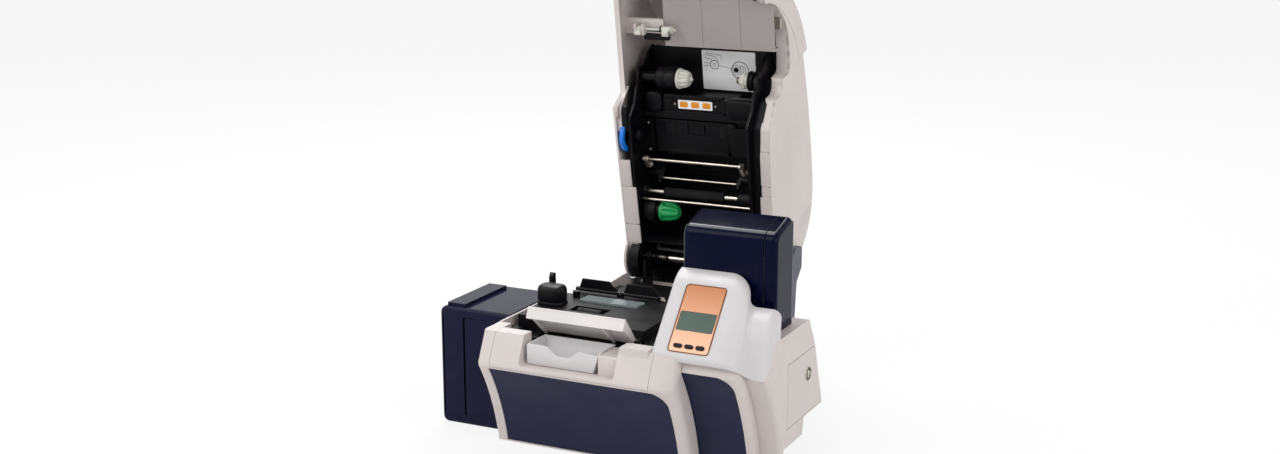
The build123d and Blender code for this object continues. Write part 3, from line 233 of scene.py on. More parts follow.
def polished_plastic(name, tone, rough=0.1, specular=0.3, coat=0.0):
    """Glossy plastic: a slow orange-peel wave, faint wiping marks in the gloss, dust in patches."""
    recipe = Recipe(name)
    dust = recipe.ranged(recipe.noise(26.0, 6.0), 0.0, 0.008, 0.5, 0.75)
    recipe.join(recipe.mixed(dust, tone, (0.5, 0.5, 0.54)), recipe.shader.inputs["Base Color"])
    wipes = recipe.noise(14.0, 5.0, (1.0, 1.0, 5.0))
    recipe.join(
        recipe.ranged(wipes, rough * 0.7, rough * 1.5, 0.3, 0.7), recipe.shader.inputs["Roughness"]
    )
    recipe.relief(recipe.noise(45.0, 1.0), 0.05, 0.0004, 0.0008)
    recipe.set(Specular_IOR_Level=specular, Coat_Weight=coat, Coat_Roughness=0.05)
    return recipe.material


def turned_steel(name, tone, rough=0.28, stretch=(0.02, 1.0, 1.0)):
    """Ground steel: fine lines round the rods and a little tarnish."""
    recipe = Recipe(name)
    tarnish = recipe.ranged(recipe.noise(50.0, 4.0), 0.0, 0.5, 0.45, 0.75)
    recipe.join(recipe.mixed(tarnish, tone, scaled(tone, 0.72)), recipe.shader.inputs["Base Color"])
    lines = recipe.noise(900.0, 3.0, stretch)
    recipe.join(recipe.ranged(lines, rough * 0.7, rough * 1.4, 0.3, 0.7), recipe.shader.inputs["Roughness"])
    recipe.relief(lines, 0.08, 0.0001, 0.0004)
    recipe.set(Metallic=1.0)
    return recipe.material


def cast_metal(tone):
    """Die-cast zinc: pale, slightly rough, with a fine orange peel and darker spots."""
    recipe = Recipe("cast_metal")
    spots = recipe.ranged(recipe.noise(180.0, 4.0), 0.0, 0.6, 0.4, 0.75)
    recipe.join(recipe.mixed(spots, scaled(tone, 1.05), scaled(tone, 0.7)), recipe.shader.inputs["Base Color"])
    recipe.join(recipe.ranged(recipe.noise(120.0, 3.0), 0.28, 0.5, 0.3, 0.7), recipe.shader.inputs["Roughness"])
    recipe.relief(recipe.noise(900.0, 2.0), 0.25, 0.0002, 0.0005)
    recipe.set(Metallic=0.85)
    return recipe.material


def make_materials(colours):
    """The finish of each slot."""
    made = {
        "body_grey": moulded("body_grey", tuple(colours.body), 0.46, grain=0.16),
        "hood_white": moulded("hood_white", tuple(colours.hood), 0.42, grain=0.04, specular=0.35, cloud=0.02),
        "panel_navy": moulded("panel_navy", tuple(colours.panel), 0.5, grain=0.2, worn=0.1, specular=0.14),
        "gloss_navy": polished_plastic("gloss_navy", tuple(colours.tower), 0.08, 0.075),
        "bin_navy": polished_plastic("bin_navy", tuple(colours.side_box), 0.16, 0.07),
        "slate": moulded("slate", tuple(colours.slate), 0.4),
        "black_plastic": moulded(
            "black_plastic", tuple(colours.black), 0.42, grain=0.2, worn=0.4, specular=0.16
        ),
        "steel": turned_steel("steel", tuple(colours.steel)),
        "rubber_black": moulded("rubber_black", tuple(colours.rubber), 0.78, grain=0.4, specular=0.2),
        "lever_blue": moulded("lever_blue", tuple(colours.lever), 0.34, grain=0.06),
        "hub_green": moulded("hub_green", tuple(colours.green_hub), 0.34, grain=0.06),
        "hub_white": moulded("hub_white", tuple(colours.white_hub), 0.36, grain=0.06),
        "overlay_copper": copper_film(tuple(colours.overlay)),
        "screen": display_glass(tuple(colours.screen)),
        "clear": clear_plastic(),
        "plate_white": moulded("plate_white", tuple(colours.label), 0.4, grain=0.04, worn=0.0),
        "cover_grey": moulded("cover_grey", tuple(colours.cover), 0.4, grain=0.1),
        "copper_edge": polished_plastic("copper_edge", scaled(tuple(colours.overlay), 0.3), 0.3, 0.3),
        # painted shade: the nose liner's finish is built on the darkened liner colour
        "liner_painted_shade": moulded("liner_painted_shade", tuple(colours.liner), 0.5, grain=0.14),
        "orange_print": moulded("orange_print", tuple(colours.marks), 0.4, grain=0.03, worn=0.0),
        "cast_metal": cast_metal(tuple(colours.steel)),
    }
    return made


def copper_film(tone):
    """Metallic print under film: deeper at the top, paler towards the buttons, fine upright brushing."""
    recipe = Recipe("overlay_copper")
    low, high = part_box("display_overlay")
    split = recipe.node("ShaderNodeSeparateXYZ")
    recipe.join(recipe.place, split.inputs[0])
    up = recipe.ranged(split.outputs["Z"], 0.0, 1.0, low.z, high.z)
    pale = srgb(238, 186, 152)
    shade = recipe.mixed(up, pale, scaled(tone, 0.82))
    brush = recipe.noise(1400.0, 2.0, (1.0, 0.04, 0.04))
    fine = recipe.ranged(brush, 0.0, 0.03, 0.3, 0.7)
    recipe.join(recipe.mixed(fine, shade, srgb(150, 90, 50)), recipe.shader.inputs["Base Color"])
    recipe.join(recipe.ranged(brush, 0.3, 0.33, 0.3, 0.7), recipe.shader.inputs["Roughness"])
    recipe.relief(recipe.noise(30.0), 0.02, 0.0001, 0.0005)
    recipe.set(Metallic=0.2, Coat_Weight=0.2, Coat_Roughness=0.08)
    return recipe.material


def display_glass(tone):
    """A lit character display under its window: fine dot grid, faint paler clouds, glossy front."""
    recipe = Recipe("screen")
    grid = recipe.node("ShaderNodeTexBrick", offset=0.0, squash=1.0)
    mapping = recipe.node("ShaderNodeMapping")
    mapping.inputs["Scale"].default_value = (1000.0, 1000.0, 1000.0)
    mapping.inputs["Rotation"].default_value = (radians(-49.4), 0.0, 0.0)
    recipe.join(recipe.place, mapping.inputs["Vector"])
    recipe.join(mapping.outputs["Vector"], grid.inputs["Vector"])
    for socket, value in (("Scale", 1.0), ("Mortar Size", 0.06), ("Brick Width", 0.6), ("Row Height", 0.6)):
        grid.inputs[socket].default_value = value
    grid.inputs["Color1"].default_value = (*tone, 1.0)
    grid.inputs["Color2"].default_value = (*scaled(tone, 0.97), 1.0)
    grid.inputs["Mortar"].default_value = (*scaled(tone, 0.86), 1.0)
    cloud = recipe.ranged(recipe.noise(40.0, 2.0), 0.0, 0.2, 0.3, 0.7)
    recipe.join(
        recipe.mixed(cloud, grid.outputs["Color"], scaled(tone, 1.25)), recipe.shader.inputs["Base Color"]
    )
    recipe.relief(recipe.noise(30.0, 1.0), 0.02, 0.0002, 0.0004)
    recipe.set(Roughness=0.16, Specular_IOR_Level=0.4)
    return recipe.material


def clear_plastic():
    """Clear acrylic with faint scratches."""
    recipe = Recipe("clear")
    scratches = recipe.noise(300.0, 6.0, (0.1, 1.0, 1.0))
    recipe.join(recipe.ranged(scratches, 0.08, 0.22, 0.35, 0.7), recipe.shader.inputs["Roughness"])
    tint = recipe.mixed(recipe.noise(40.0), (0.62, 0.74, 0.74), (0.72, 0.82, 0.82))
    recipe.join(tint, recipe.shader.inputs["Base Color"])
    recipe.relief(scratches, 0.03, 0.0001, 0.0004)
    recipe.set(Transmission_Weight=0.55, IOR=1.45, Alpha=0.85)
    return recipe.material


# ---------------------------------------------------------------- which node has which finish
NODE_FINISH = {
    "body_grey": (
        "main_housing front_frame front_strip display_column feeder_housing access_door lid_shell "
        "nose_cover latch_bracket"
    ),
    "cover_grey": "hopper_cover",
    "liner_painted_shade": "nose_liner",
    "hood_white": "display_hood output_tray",
    "panel_navy": "front_panel feeder_panel",
    "gloss_navy": "card_tower tower_door",
    "bin_navy": "side_bin bin_door",
    "slate": "hinge_bracket base_pan",
    "black_plastic": (
        "deck_chassis drive_block left_side_plate right_side_plate back_plate cross_bar "
        "printhead_module guide_flap_left guide_flap_right button_left button_middle button_right "
        "power_inlet power_switch card_weight takeup_hub_right"
    ),
    "steel": "hopper_pin flap_pins door_pins hinge_shaft guide_rods platen_shaft bail door_lock data_ports",
    "rubber_black": "rubber_feet platen_rubber pick_roller feed_roller",
    "lever_blue": "head_lever",
    "hub_green": "takeup_hub_left",
    "hub_white": "supply_hub_left supply_hub_right latch_claw",
    "overlay_copper": "display_overlay",
    "screen": "screen_window",
    "clear": "clear_guide",
    "plate_white": "instruction_plate caution_plate",
}
FINISHES = {}


def paint(piece, finish):
    piece.data.materials.clear()
    piece.data.materials.append(FINISHES[finish])


class PRINTER_OT_frame(bpy.types.Operator):
    """Give every part that the drawings carry its finish."""

    bl_idname = "printer.frame"
    bl_label = "Frame finishes"

    def execute(self, context):
        FINISHES.update(make_materials(context.scene.printer_colours))
        done = set()
        for finish, names in NODE_FINISH.items():
            for name in names.split():
                paint(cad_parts[name], finish)
                done.add(name)
        left = sorted(set(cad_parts) - done)
        if left:
            raise RuntimeError(f"no finish for {left}")
        return {"FINISHED"}


# ---------------------------------------------------------------- shapes worked out as whole arrays
def in_body(points):
    """Metres in the frame from millimetres on the body's drawing: x, depth, height."""
    return (np.asarray(points, float) + CORNER) / 1000.0


def in_lid(points):
    """Metres in the frame from x, depth n into the open lid and length d from its hinge.

    The point is the hinge plus n along the lid's inward normal plus d up its slope.
    """
    x, n, d = np.moveaxis(np.asarray(points, float), -1, 0)
    y = HINGE[0] + n * sin(OPEN) - d * cos(OPEN)
    z = HINGE[1] + n * cos(OPEN) + d * sin(OPEN)
    return in_body(np.stack([x, y, z], -1))


def on_face(points):
    """Metres in the frame from x, distance up the hood's slope and height above its face.

    The slope starts at the face's middle and rises by FACE_TILT from the floor.
    """
    x, up, off = np.moveaxis(np.asarray(points, float), -1, 0)
    y = FACE_MIDDLE[0] + up * cos(FACE_TILT) - off * sin(FACE_TILT)
    z = FACE_MIDDLE[1] + up * sin(FACE_TILT) + off * cos(FACE_TILT)
    return in_body(np.stack([x, y, z], -1))


FACE_MIDDLE = (8.0, 197.0)
FACE_TILT = np.arctan2(70.0, 60.0)


def skin(points, round_the_back=False, closed_length=False, ends=True):
    """Vertices and faces of a grid of points: quads between neighbours, flat ends on a closed tube.

    points is (rows, columns, 3). round_the_back joins the last column to the first, closed_length
    joins the last row to the first, and ends closes the first and last rows with one face each.
    """
    rows, columns = points.shape[:2]
    across = np.arange(columns if round_the_back else columns - 1)
    along = np.arange(rows if closed_length else rows - 1)
    i, j = np.meshgrid(along, across, indexing="ij")
    i2, j2 = (i + 1) % rows, (j + 1) % columns
    quads = np.stack([i * columns + j, i * columns + j2, i2 * columns + j2, i2 * columns + j], -1)
    faces = quads.reshape(-1, 4).tolist()
    if ends and round_the_back and not closed_length:
        faces.append(list(range(columns - 1, -1, -1)))
        faces.append([(rows - 1) * columns + k for k in range(columns)])
    return points.reshape(-1, 3), faces


def piece(name, skins, body, slot, finish=None, flat=False, replaces=(), sharp=35.0):
    """One object of several skins, with doubles merged and faces turned outwards."""
    points, faces, start = [], [], 0
    for some, indices in skins:
        points.append(some)
        faces += [[k + start for k in face] for face in indices]
        start += len(some)
    mesh = bpy.data.meshes.new(name)
    mesh.from_pydata(np.concatenate(points).tolist(), [], faces)
    work = bmesh.new()
    work.from_mesh(mesh)
    bmesh.ops.remove_doubles(work, verts=work.verts, dist=1e-6)
    bmesh.ops.dissolve_degenerate(work, edges=work.edges, dist=1e-7)
    bmesh.ops.recalc_face_normals(work, faces=work.faces)
    work.to_mesh(mesh)
    work.free()
    mesh.materials.append(FINISHES[finish or slot])
    if not flat:
        mesh.shade_smooth()
        mesh.set_sharp_from_angle(angle=radians(sharp))
    made = bpy.data.objects.new(name, mesh)
    bpy.context.scene.collection.objects.link(made)
    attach(made, body)
    if replaces:
        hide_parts(*replaces)
    return made


def turned(profile, axis, sides=40, wave=None):
    """A profile of (radius, along) pairs turned round an axis.

    A point is along x and out by radius in the plane across it. axis is the place function and the
    (n, d) or (depth, height) of the centre. wave(turn, row) scales the radius, for ribs and teeth.
    """
    place, (first, second) = axis
    profile = np.array(profile, float)
    turn = np.linspace(0, 2 * pi, sides, endpoint=False)
    radius = profile[:, :1] * np.ones(sides)
    if wave is not None:
        radius = radius * wave(turn[None, :], profile[:, 1:])
    along = np.broadcast_to(profile[:, 1:], radius.shape)
    points = np.stack([along, first + radius * np.cos(turn), second + radius * np.sin(turn)], -1)
    return skin(place(points), round_the_back=True)


def rounded_profile(steps):
    """(radius, along) pairs with each inner corner cut back by its third number on both sides."""
    steps = [(*step, 0.0)[:3] for step in steps]
    out = []
    for k, (radius, along, cut) in enumerate(steps):
        if not cut or k in (0, len(steps) - 1):
            out.append((radius, along))
            continue
        here = np.array([radius, along])
        for other in (steps[k - 1], steps[k + 1]):
            way = np.array(other[:2]) - here
            out.append(tuple(here + way / max(np.hypot(*way), 1e-9) * cut))
    return out


def block(place, low, high, thick, corner=2.0, edge=0.8, steps=4):
    """A block with rounded corners and rounded edges.

    Each row is a rounded rectangle drawn in by an inset, and the insets and heights of the rows
    follow a quarter circle at the foot and one at the top. low and high are its corners in the
    place function's first two numbers after x, thick its (from, to) in x; rows run along x.
    """
    edge = min(edge, (thick[1] - thick[0]) / 2.01, corner)
    t = np.linspace(0, pi / 2, steps)
    inset = np.concatenate([edge * (1 - np.sin(t)), edge * (1 - np.cos(t))])
    height = np.concatenate([thick[0] + edge * (1 - np.cos(t)), thick[1] - edge * (1 - np.sin(t))])
    t = np.linspace(0, pi / 2, steps + 1)
    quarter = (np.arange(4)[:, None] * pi / 2 + t[None, :]).ravel()
    side = np.repeat(np.array([[1, 1], [-1, 1], [-1, -1], [1, -1]]), steps + 1, axis=0)
    middle = np.array([(low[0] + high[0]) / 2, (low[1] + high[1]) / 2])
    half = np.array([(high[0] - low[0]) / 2, (high[1] - low[1]) / 2]) - corner
    ring = np.stack([np.cos(quarter), np.sin(quarter)], -1)
    outline = middle + side * half + (corner - inset)[:, None, None] * ring
    across = np.broadcast_to(height[:, None, None], (*outline.shape[:2], 1))
    return skin(place(np.concatenate([across, outline], -1)), round_the_back=True)


def tall_block(place, low, high, thick, corner=2.0, edge=0.8):
    """The same block standing on its second and third numbers: low and high are (x, d) corners
    and thick runs along the depth n, or the height on the body."""

    def turned_place(points):
        up, x, d = np.moveaxis(points, -1, 0)
        return place(np.stack([x, up, d], -1) if place is in_lid else np.stack([x, d, up], -1))

    return block(turned_place, low, high, thick, corner, edge)


def tube(place, path, radius, sides=10, closed=False):
    """A round wire along a path: circles across it, turned to face along it.

    The frame at each point is the path's direction, its cross product with a fixed direction that
    it never follows, and the product of the two.
    """
    path = place(np.asarray(path, float))
    ahead = np.gradient(path, axis=0)
    if closed:
        ahead = np.roll(path, -1, axis=0) - np.roll(path, 1, axis=0)
    ahead /= np.linalg.norm(ahead, axis=1, keepdims=True)
    fixed = np.eye(3)[np.argmin(np.abs(ahead).max(axis=0))]
    one = np.cross(ahead, fixed)
    one /= np.linalg.norm(one, axis=1, keepdims=True)
    two = np.cross(ahead, one)
    turn = np.linspace(0, 2 * pi, sides, endpoint=False)[None, :, None]
    points = path[:, None] + radius / 1000 * (np.cos(turn) * one[:, None] + np.sin(turn) * two[:, None])
    return skin(points, round_the_back=True, closed_length=closed)


def spring(place, start, length, radius, wire, turns, steps=14):
    """A coil spring along x: a helix whose pitch closes up at both ends."""
    t = np.linspace(0, 1, int(turns * steps) + 1)
    pitch = t - 0.08 * np.sin(2 * pi * t)
    turn = 2 * pi * turns * t
    x, first, second = start
    path = np.stack([x + length * pitch, first + radius * np.cos(turn), second + radius * np.sin(turn)], -1)
    return tube(place, path, wire, 7)


def screw(place, x, n, d, radius=2.4, high=1.2, toward=-1.0):
    """A round-headed screw: a dome with a cross cut into it, its head towards the lid's mouth.

    The head's height is a quarter ellipse of the radius, less the depth of the cross where either
    arm passes.
    """
    r = np.linspace(0, 1, 9)[:, None]
    turn = np.linspace(0, 2 * pi, 32, endpoint=False)[None, :]
    u, v = radius * r * np.cos(turn), radius * r * np.sin(turn)
    dome = high * np.sqrt(np.clip(1 - 0.75 * r**2, 0, 1)) * np.ones_like(turn)
    arm = np.maximum(np.exp(-((u / 0.28) ** 4)), np.exp(-((v / 0.28) ** 4))) * (r < 0.68)
    top = n + toward * (dome - 0.7 * arm)
    points = np.stack([x + u, top, d + v], -1)
    foot = np.stack([x + u[-1:], np.full_like(u[-1:], n), d + v[-1:]], -1)
    points = np.concatenate([points, foot])
    if place is in_body:
        points = points[..., [0, 2, 1]]
    return skin(place(points), round_the_back=True, ends=True)


def smooth(t):
    """0 to 1 with level ends: 3t^2 - 2t^3, held outside."""
    t = np.clip(t, 0, 1)
    return t * t * (3 - 2 * t)


def evenly(points, count):
    """count points along a line of points, equally far apart."""
    points = np.asarray(points, float)
    run = np.concatenate([[0], np.cumsum(np.hypot(*np.diff(points, axis=0).T))])
    want = np.linspace(0, run[-1], count)
    return np.stack([np.interp(want, run, points[:, 0]), np.interp(want, run, points[:, 1])], -1)


def arc_through(first, middle, last, count=16):
    """Points of the circle through three points, from the first to the last."""
    (ax, ay), (bx, by), (cx, cy) = first, middle, last
    d = 2 * (ax * (by - cy) + bx * (cy - ay) + cx * (ay - by))
    a2, b2, c2 = ax * ax + ay * ay, bx * bx + by * by, cx * cx + cy * cy
    ox = (a2 * (by - cy) + b2 * (cy - ay) + c2 * (ay - by)) / d
    oy = (a2 * (cx - bx) + b2 * (ax - cx) + c2 * (bx - ax)) / d
    angles = np.unwrap([np.arctan2(y - oy, x - ox) for x, y in (first, middle, last)])
    turn = np.linspace(angles[0], angles[2], count)
    radius = np.hypot(ax - ox, ay - oy)
    return np.stack([ox + radius * np.cos(turn), oy + radius * np.sin(turn)], -1)


# ---------------------------------------------------------------- pieces
class PRINTER_OT_hood(bpy.types.Operator):
    """Sculpt the white display hood: a sloping face that rolls over its right edge into a lower lobe.

    Two side profiles, the face's and the lobe's, are mixed by a weight that a path through
    (x, weight) gives: flat, a round-over, a wall, a hollow, flat again and a last round-over.
    """

    bl_idname = "printer.hood"
    bl_label = "Display hood"

    def execute(self, context):
        front, back = 60, 14
        crown = arc_through((38.0, 232.0), (50.5, 241.4), (61.0, 245.0), 14)
        nose = arc_through((-23.2, 150.6), (-24.9, 154.0), (-25.1, 158.4), 6)
        face = evenly(np.concatenate([nose, [(38.0, 232.0)], crown[1:]]), front)
        lobe = evenly(np.concatenate([
            arc_through((5.3, 131.4), (9.8, 150.0), (14.0, 170.0), 8),
            arc_through((14.0, 170.0), (25.0, 198.0), (47.0, 210.0), 12)[1:],
        ]), front)
        roll = np.linspace(0, pi / 2, 14)
        gap = 27.0  # distance between the two profiles
        path = [(232.6, 0.0, 1.2), (232.9, 0.0, 0.4), (233.6, 0.0, 0.0)]
        path += [(x, 0.0, 0.0) for x in np.linspace(240, 295, 10)]
        path += [(300.5 + 28 * sin(a), 19.5 * (1 - cos(a)) / gap, 0.0) for a in roll]
        path += [(340.0 - 11 * cos(a), (20 + 7 * sin(a)) / gap, 0.0) for a in roll]
        path += [(x, 1.0, 0.0) for x in np.linspace(342, 356, 5)]
        path += [(359.5 + 10.4 * sin(a), 1.0, 10.0 * (1 - cos(a))) for a in roll]
        x, weight, inset = np.array(path).T[:, :, None, None]
        # the step down to the lobe leans: its foot lies further right than its top
        lean = 17.0 * np.linspace(1, 0, front) ** 0.7
        share = np.interp(x[:, 0] - lean, x[:, 0, 0], weight[:, 0, 0])[..., None]
        line = face * (1 - share) + lobe * share
        ahead = np.gradient(line, axis=1)
        ahead /= np.linalg.norm(ahead, axis=2, keepdims=True)
        line = line + inset * np.stack([ahead[..., 1], -ahead[..., 0]], -1)
        foot = np.array([61.0, 173.4]) * (1 - weight) + np.array([47.0, 173.4]) * weight
        foot = foot + 0 * line[:, :1]
        t = np.linspace(0, 1, back)[None, :, None]
        low = line[:, :1] + (8.0, 0.5)
        behind = line[:, -1:] + (foot - line[:, -1:]) * t
        under = foot + (low - foot) * t
        section = np.concatenate([line, behind[:, 1:], under[:, 1:]], 1)
        points = np.concatenate([np.broadcast_to(x[:, 0], section.shape[:2])[..., None], section], -1)
        piece("display_hood_skin", [skin(in_body(points), round_the_back=True)], "base", "hood_white",
              replaces=("display_hood",), sharp=50)
        return {"FINISHED"}


class PRINTER_OT_overlay(bpy.types.Operator):
    """Run a thin raised rim round the display's film: a round wire along a rounded rectangle."""

    bl_idname = "printer.overlay"
    bl_label = "Overlay rim"

    def execute(self, context):
        t = np.linspace(0, pi / 2, 12)
        turn = (np.arange(4)[:, None] * pi / 2 + t).ravel()
        side = np.repeat(np.array([[1, 1], [-1, 1], [-1, -1], [1, -1]]), 12, axis=0)
        flat = np.array([278.0, 0.0]) + side * (26.3 - 4.4, 44.8 - 4.4)
        flat = flat + 4.4 * np.stack([np.cos(turn), np.sin(turn)], -1)
        path = np.concatenate([flat, np.full((len(flat), 1), 0.55)], -1)
        piece("overlay_rim", [tube(on_face, path, 0.75, 10, closed=True)], "base", "overlay_copper",
              finish="copper_edge")
        return {"FINISHED"}


class PRINTER_OT_tray(bpy.types.Operator):
    """Shape the white output tray: a fluted scoop behind a front lip with a finger dip.

    Each section across the tray is one loop in depth and height: under, up the front, over the
    lip, down inside, along the scoop and down the back. The lip's height is a level less a
    cosine dip, and the scoop is a quarter ellipse plus flutes that fade towards the lip.
    """

    bl_idname = "printer.tray"
    bl_label = "Output tray"

    def execute(self, context):
        left, right, front, back, low, top = 64.2, 164.8, -31.0, 14.5, 122.2, 149.0
        ends = np.array([0, 0.4, 1.2, 2.2, 2.6, 3.0, 3.6, 4.6])
        x = np.concatenate([left + ends, np.linspace(left + 6, right - 6, 90), right - ends[::-1]])
        wall = 1 - smooth((np.minimum(x - left, right - x) - 2.0) / 1.6)
        dip = smooth((25.0 - np.abs(x - 114.5)) / 19.0)
        lip = top - 11.0 * dip - 3.0 * smooth((x - 128.0) / 30.0)
        lip = lip - 0.8 * np.clip(1 - np.minimum(x - left, right - x) / 1.5, 0, 1)
        flute = 1.5 * np.abs(np.sin(pi * (x - left - 6) / 17.5)) ** 1.5
        v = np.linspace(0, 1, 24)
        depth = front + 3 + (back - front - 6) * v
        floor = low + 3.5 + (top - low - 7) * (1 - np.sqrt(np.clip(1 - v[None, :] ** 2.2, 0, 1)))
        floor = floor + flute[:, None] * np.sin(pi * v[None, :] ** 0.7) * 0.9
        level = np.full_like(floor, 1.0) * (top - 0.3)
        inside = floor * (1 - wall[:, None]) + level * wall[:, None]
        inside = np.minimum(inside, np.maximum(lip[:, None], inside * 0 + low + 3.5) + 60 * v[None, :])
        one = np.ones_like(x)
        loop = [
            (one * back, one * low), (one * (front + 2.2), one * low), (one * (front + 0.7), one * (low + 0.6)),
            (one * front, one * (low + 2.0)), (one * front, lip - 0.9), (one * (front + 0.4), lip - 0.2),
            (one * (front + 1.1), lip), (one * (front + 1.9), lip - 0.2), (one * (front + 2.4), lip - 0.9),
        ]
        loop += [(one * depth[k], inside[:, k]) for k in range(len(v))]
        loop += [(one * (back - 2.0), one * top - 0.4), (one * (back - 0.9), one * top),
                 (one * back, one * (top - 0.8))]
        y = np.stack([a for a, _ in loop], 1)
        z = np.stack([b for _, b in loop], 1)
        taper = 1 - 0.09 * np.clip((top - z) / (top - low), 0, 1) * smooth((x[:, None] - 130) / 35)
        across = left + (x[:, None] - left) * taper
        points = np.stack([across, y, z], -1)
        piece("output_tray_scoop", [skin(in_body(points), round_the_back=True)], "base", "hood_white",
              replaces=("output_tray",), sharp=40)
        return {"FINISHED"}


def ribs(count, deep, start, end, power=2.0):
    """A wave for turned(): grooves between ribs where the row lies from start to end along x."""

    def wave(turn, along):
        inside = (along > start) & (along < end)
        return 1 - deep * inside * (0.5 - 0.5 * np.cos(count * turn)) ** power

    return wave


class PRINTER_OT_hubs(bpy.types.Operator):
    """Turn the four ribbon hubs, with ribs along their cores and flanges behind them."""

    bl_idname = "printer.hubs"
    bl_label = "Ribbon hubs"

    def execute(self, context):
        supply, takeup, right = (in_lid, (32.0, 266.0)), (in_lid, (10.0, 70.0)), (in_lid, (30.0, 270.0))
        core = rounded_profile([
            (0.0, 78.2), (14.2, 78.2), (14.8, 79.0), (14.8, 81.6, 0.5), (13.2, 82.2), (13.0, 83.0),
            (12.7, 86.0), (12.0, 90.0), (10.8, 93.0), (9.0, 95.0, 0.8), (6.2, 95.8), (5.6, 95.0),
            (5.4, 94.0), (3.6, 94.0), (3.6, 98.2, 0.5), (2.6, 99.0), (0.0, 99.0),
        ])
        piece("supply_core", [turned(core, supply, 96, ribs(10, 0.16, 82.6, 94.0))], "supply_left",
              "hub_white", replaces=("supply_hub_left",))
        carrier = rounded_profile([
            (0.0, 18.2), (4.0, 18.2), (4.0, 22.6), (8.0, 22.6), (8.0, 46.0, 1.0), (12.0, 46.5), (15.4, 47.6, 1.0),
            (16.2, 49.0), (16.2, 58.0, 0.4), (15.2, 58.6), (15.2, 60.0), (16.2, 60.6, 0.4), (16.2, 76.5, 0.7),
            (15.0, 78.0), (0.0, 78.0),
        ])
        piece("supply_carrier", [turned(carrier, supply, 72)], "supply_left", "black_plastic")
        green = rounded_profile([
            (0.0, 47.0), (14.2, 47.0), (15.2, 48.0), (15.4, 51.6, 0.5), (14.8, 52.6), (14.9, 55.0),
            (14.5, 60.0), (13.4, 65.0), (11.8, 69.4), (9.6, 72.6), (7.2, 74.6, 0.6), (5.2, 75.4), (4.6, 74.6),
            (4.4, 72.0), (1.6, 72.0), (0.0, 72.2),
        ])
        piece("takeup_core", [turned(green, takeup, 96, ribs(8, 0.17, 54.0, 73.0))], "takeup_left",
              "hub_green", replaces=("takeup_hub_left",))
        drum = rounded_profile([
            (0.0, 18.2), (4.0, 18.2), (4.0, 22.7), (20.4, 22.7, 0.6), (21.0, 24.0), (21.0, 30.0, 0.4),
            (19.6, 30.5), (19.6, 32.0), (21.0, 32.5, 0.4), (21.0, 41.0, 1.0), (19.2, 43.0), (16.6, 43.2),
            (16.2, 42.4), (15.2, 42.4), (15.0, 46.9), (0.0, 46.9),
        ])
        piece("takeup_drum", [turned(drum, takeup, 120, ribs(40, 0.035, 33.0, 41.0))], "takeup_left",
              "black_plastic")
        sprung = rounded_profile([
            (0.0, 172.6), (5.0, 172.6), (6.6, 173.6, 0.5), (9.8, 176.0), (11.4, 178.4, 0.6), (11.4, 182.0, 0.5),
            (10.2, 182.8), (10.0, 187.4), (0.0, 187.4),
        ])
        piece("sprung_core", [turned(sprung, right, 80, ribs(6, 0.2, 174.0, 182.2))], "supply_right",
              "hub_white", replaces=("supply_hub_right",))
        pin = rounded_profile([
            (0.0, 168.4), (2.6, 168.4), (3.4, 169.4), (3.4, 174.0), (5.2, 174.3), (5.2, 187.6), (13.6, 187.8),
            (14.2, 188.4), (14.2, 190.4), (12.0, 190.8), (12.0, 192.0), (13.4, 192.4), (13.4, 194.6),
            (8.0, 195.0), (8.0, 197.2), (4.0, 197.4), (4.0, 200.8), (0.0, 200.8),
        ])
        coil = spring(in_lid, (168.8, 30.0, 270.0), 4.4, 4.4, 0.45, 4)
        piece("sprung_pin", [turned(pin, right, 72, ribs(24, 0.05, 187.7, 190.6))], "supply_right", "black_plastic")
        piece("hub_spring", [coil], "supply_right", "steel")
        return {"FINISHED"}


class PRINTER_OT_springs(bpy.types.Operator):
    """Wind the coil springs that show at the lid's hinge and between the two card flaps."""

    bl_idname = "printer.springs"
    bl_label = "Springs"

    def execute(self, context):
        lid = [
            spring(in_lid, (36.0, 0.0, 0.0), 22.0, 7.0, 0.7, 9),
            spring(in_lid, (160.0, 0.0, 0.0), 22.0, 7.0, 0.7, 9),
            spring(in_lid, (44.0, -33.0, 17.0), 13.0, 2.6, 0.45, 7),
        ]
        piece("hinge_springs", lid, "lid", "steel", finish="black_plastic")
        deck = [
            spring(in_body, (89.8, 169.0, 167.0), 7.4, 2.4, 0.35, 5),
            spring(in_body, (151.5, 169.0, 167.0), 7.0, 2.4, 0.35, 5),
        ]
        piece("flap_springs", deck, "base", "steel")
        return {"FINISHED"}


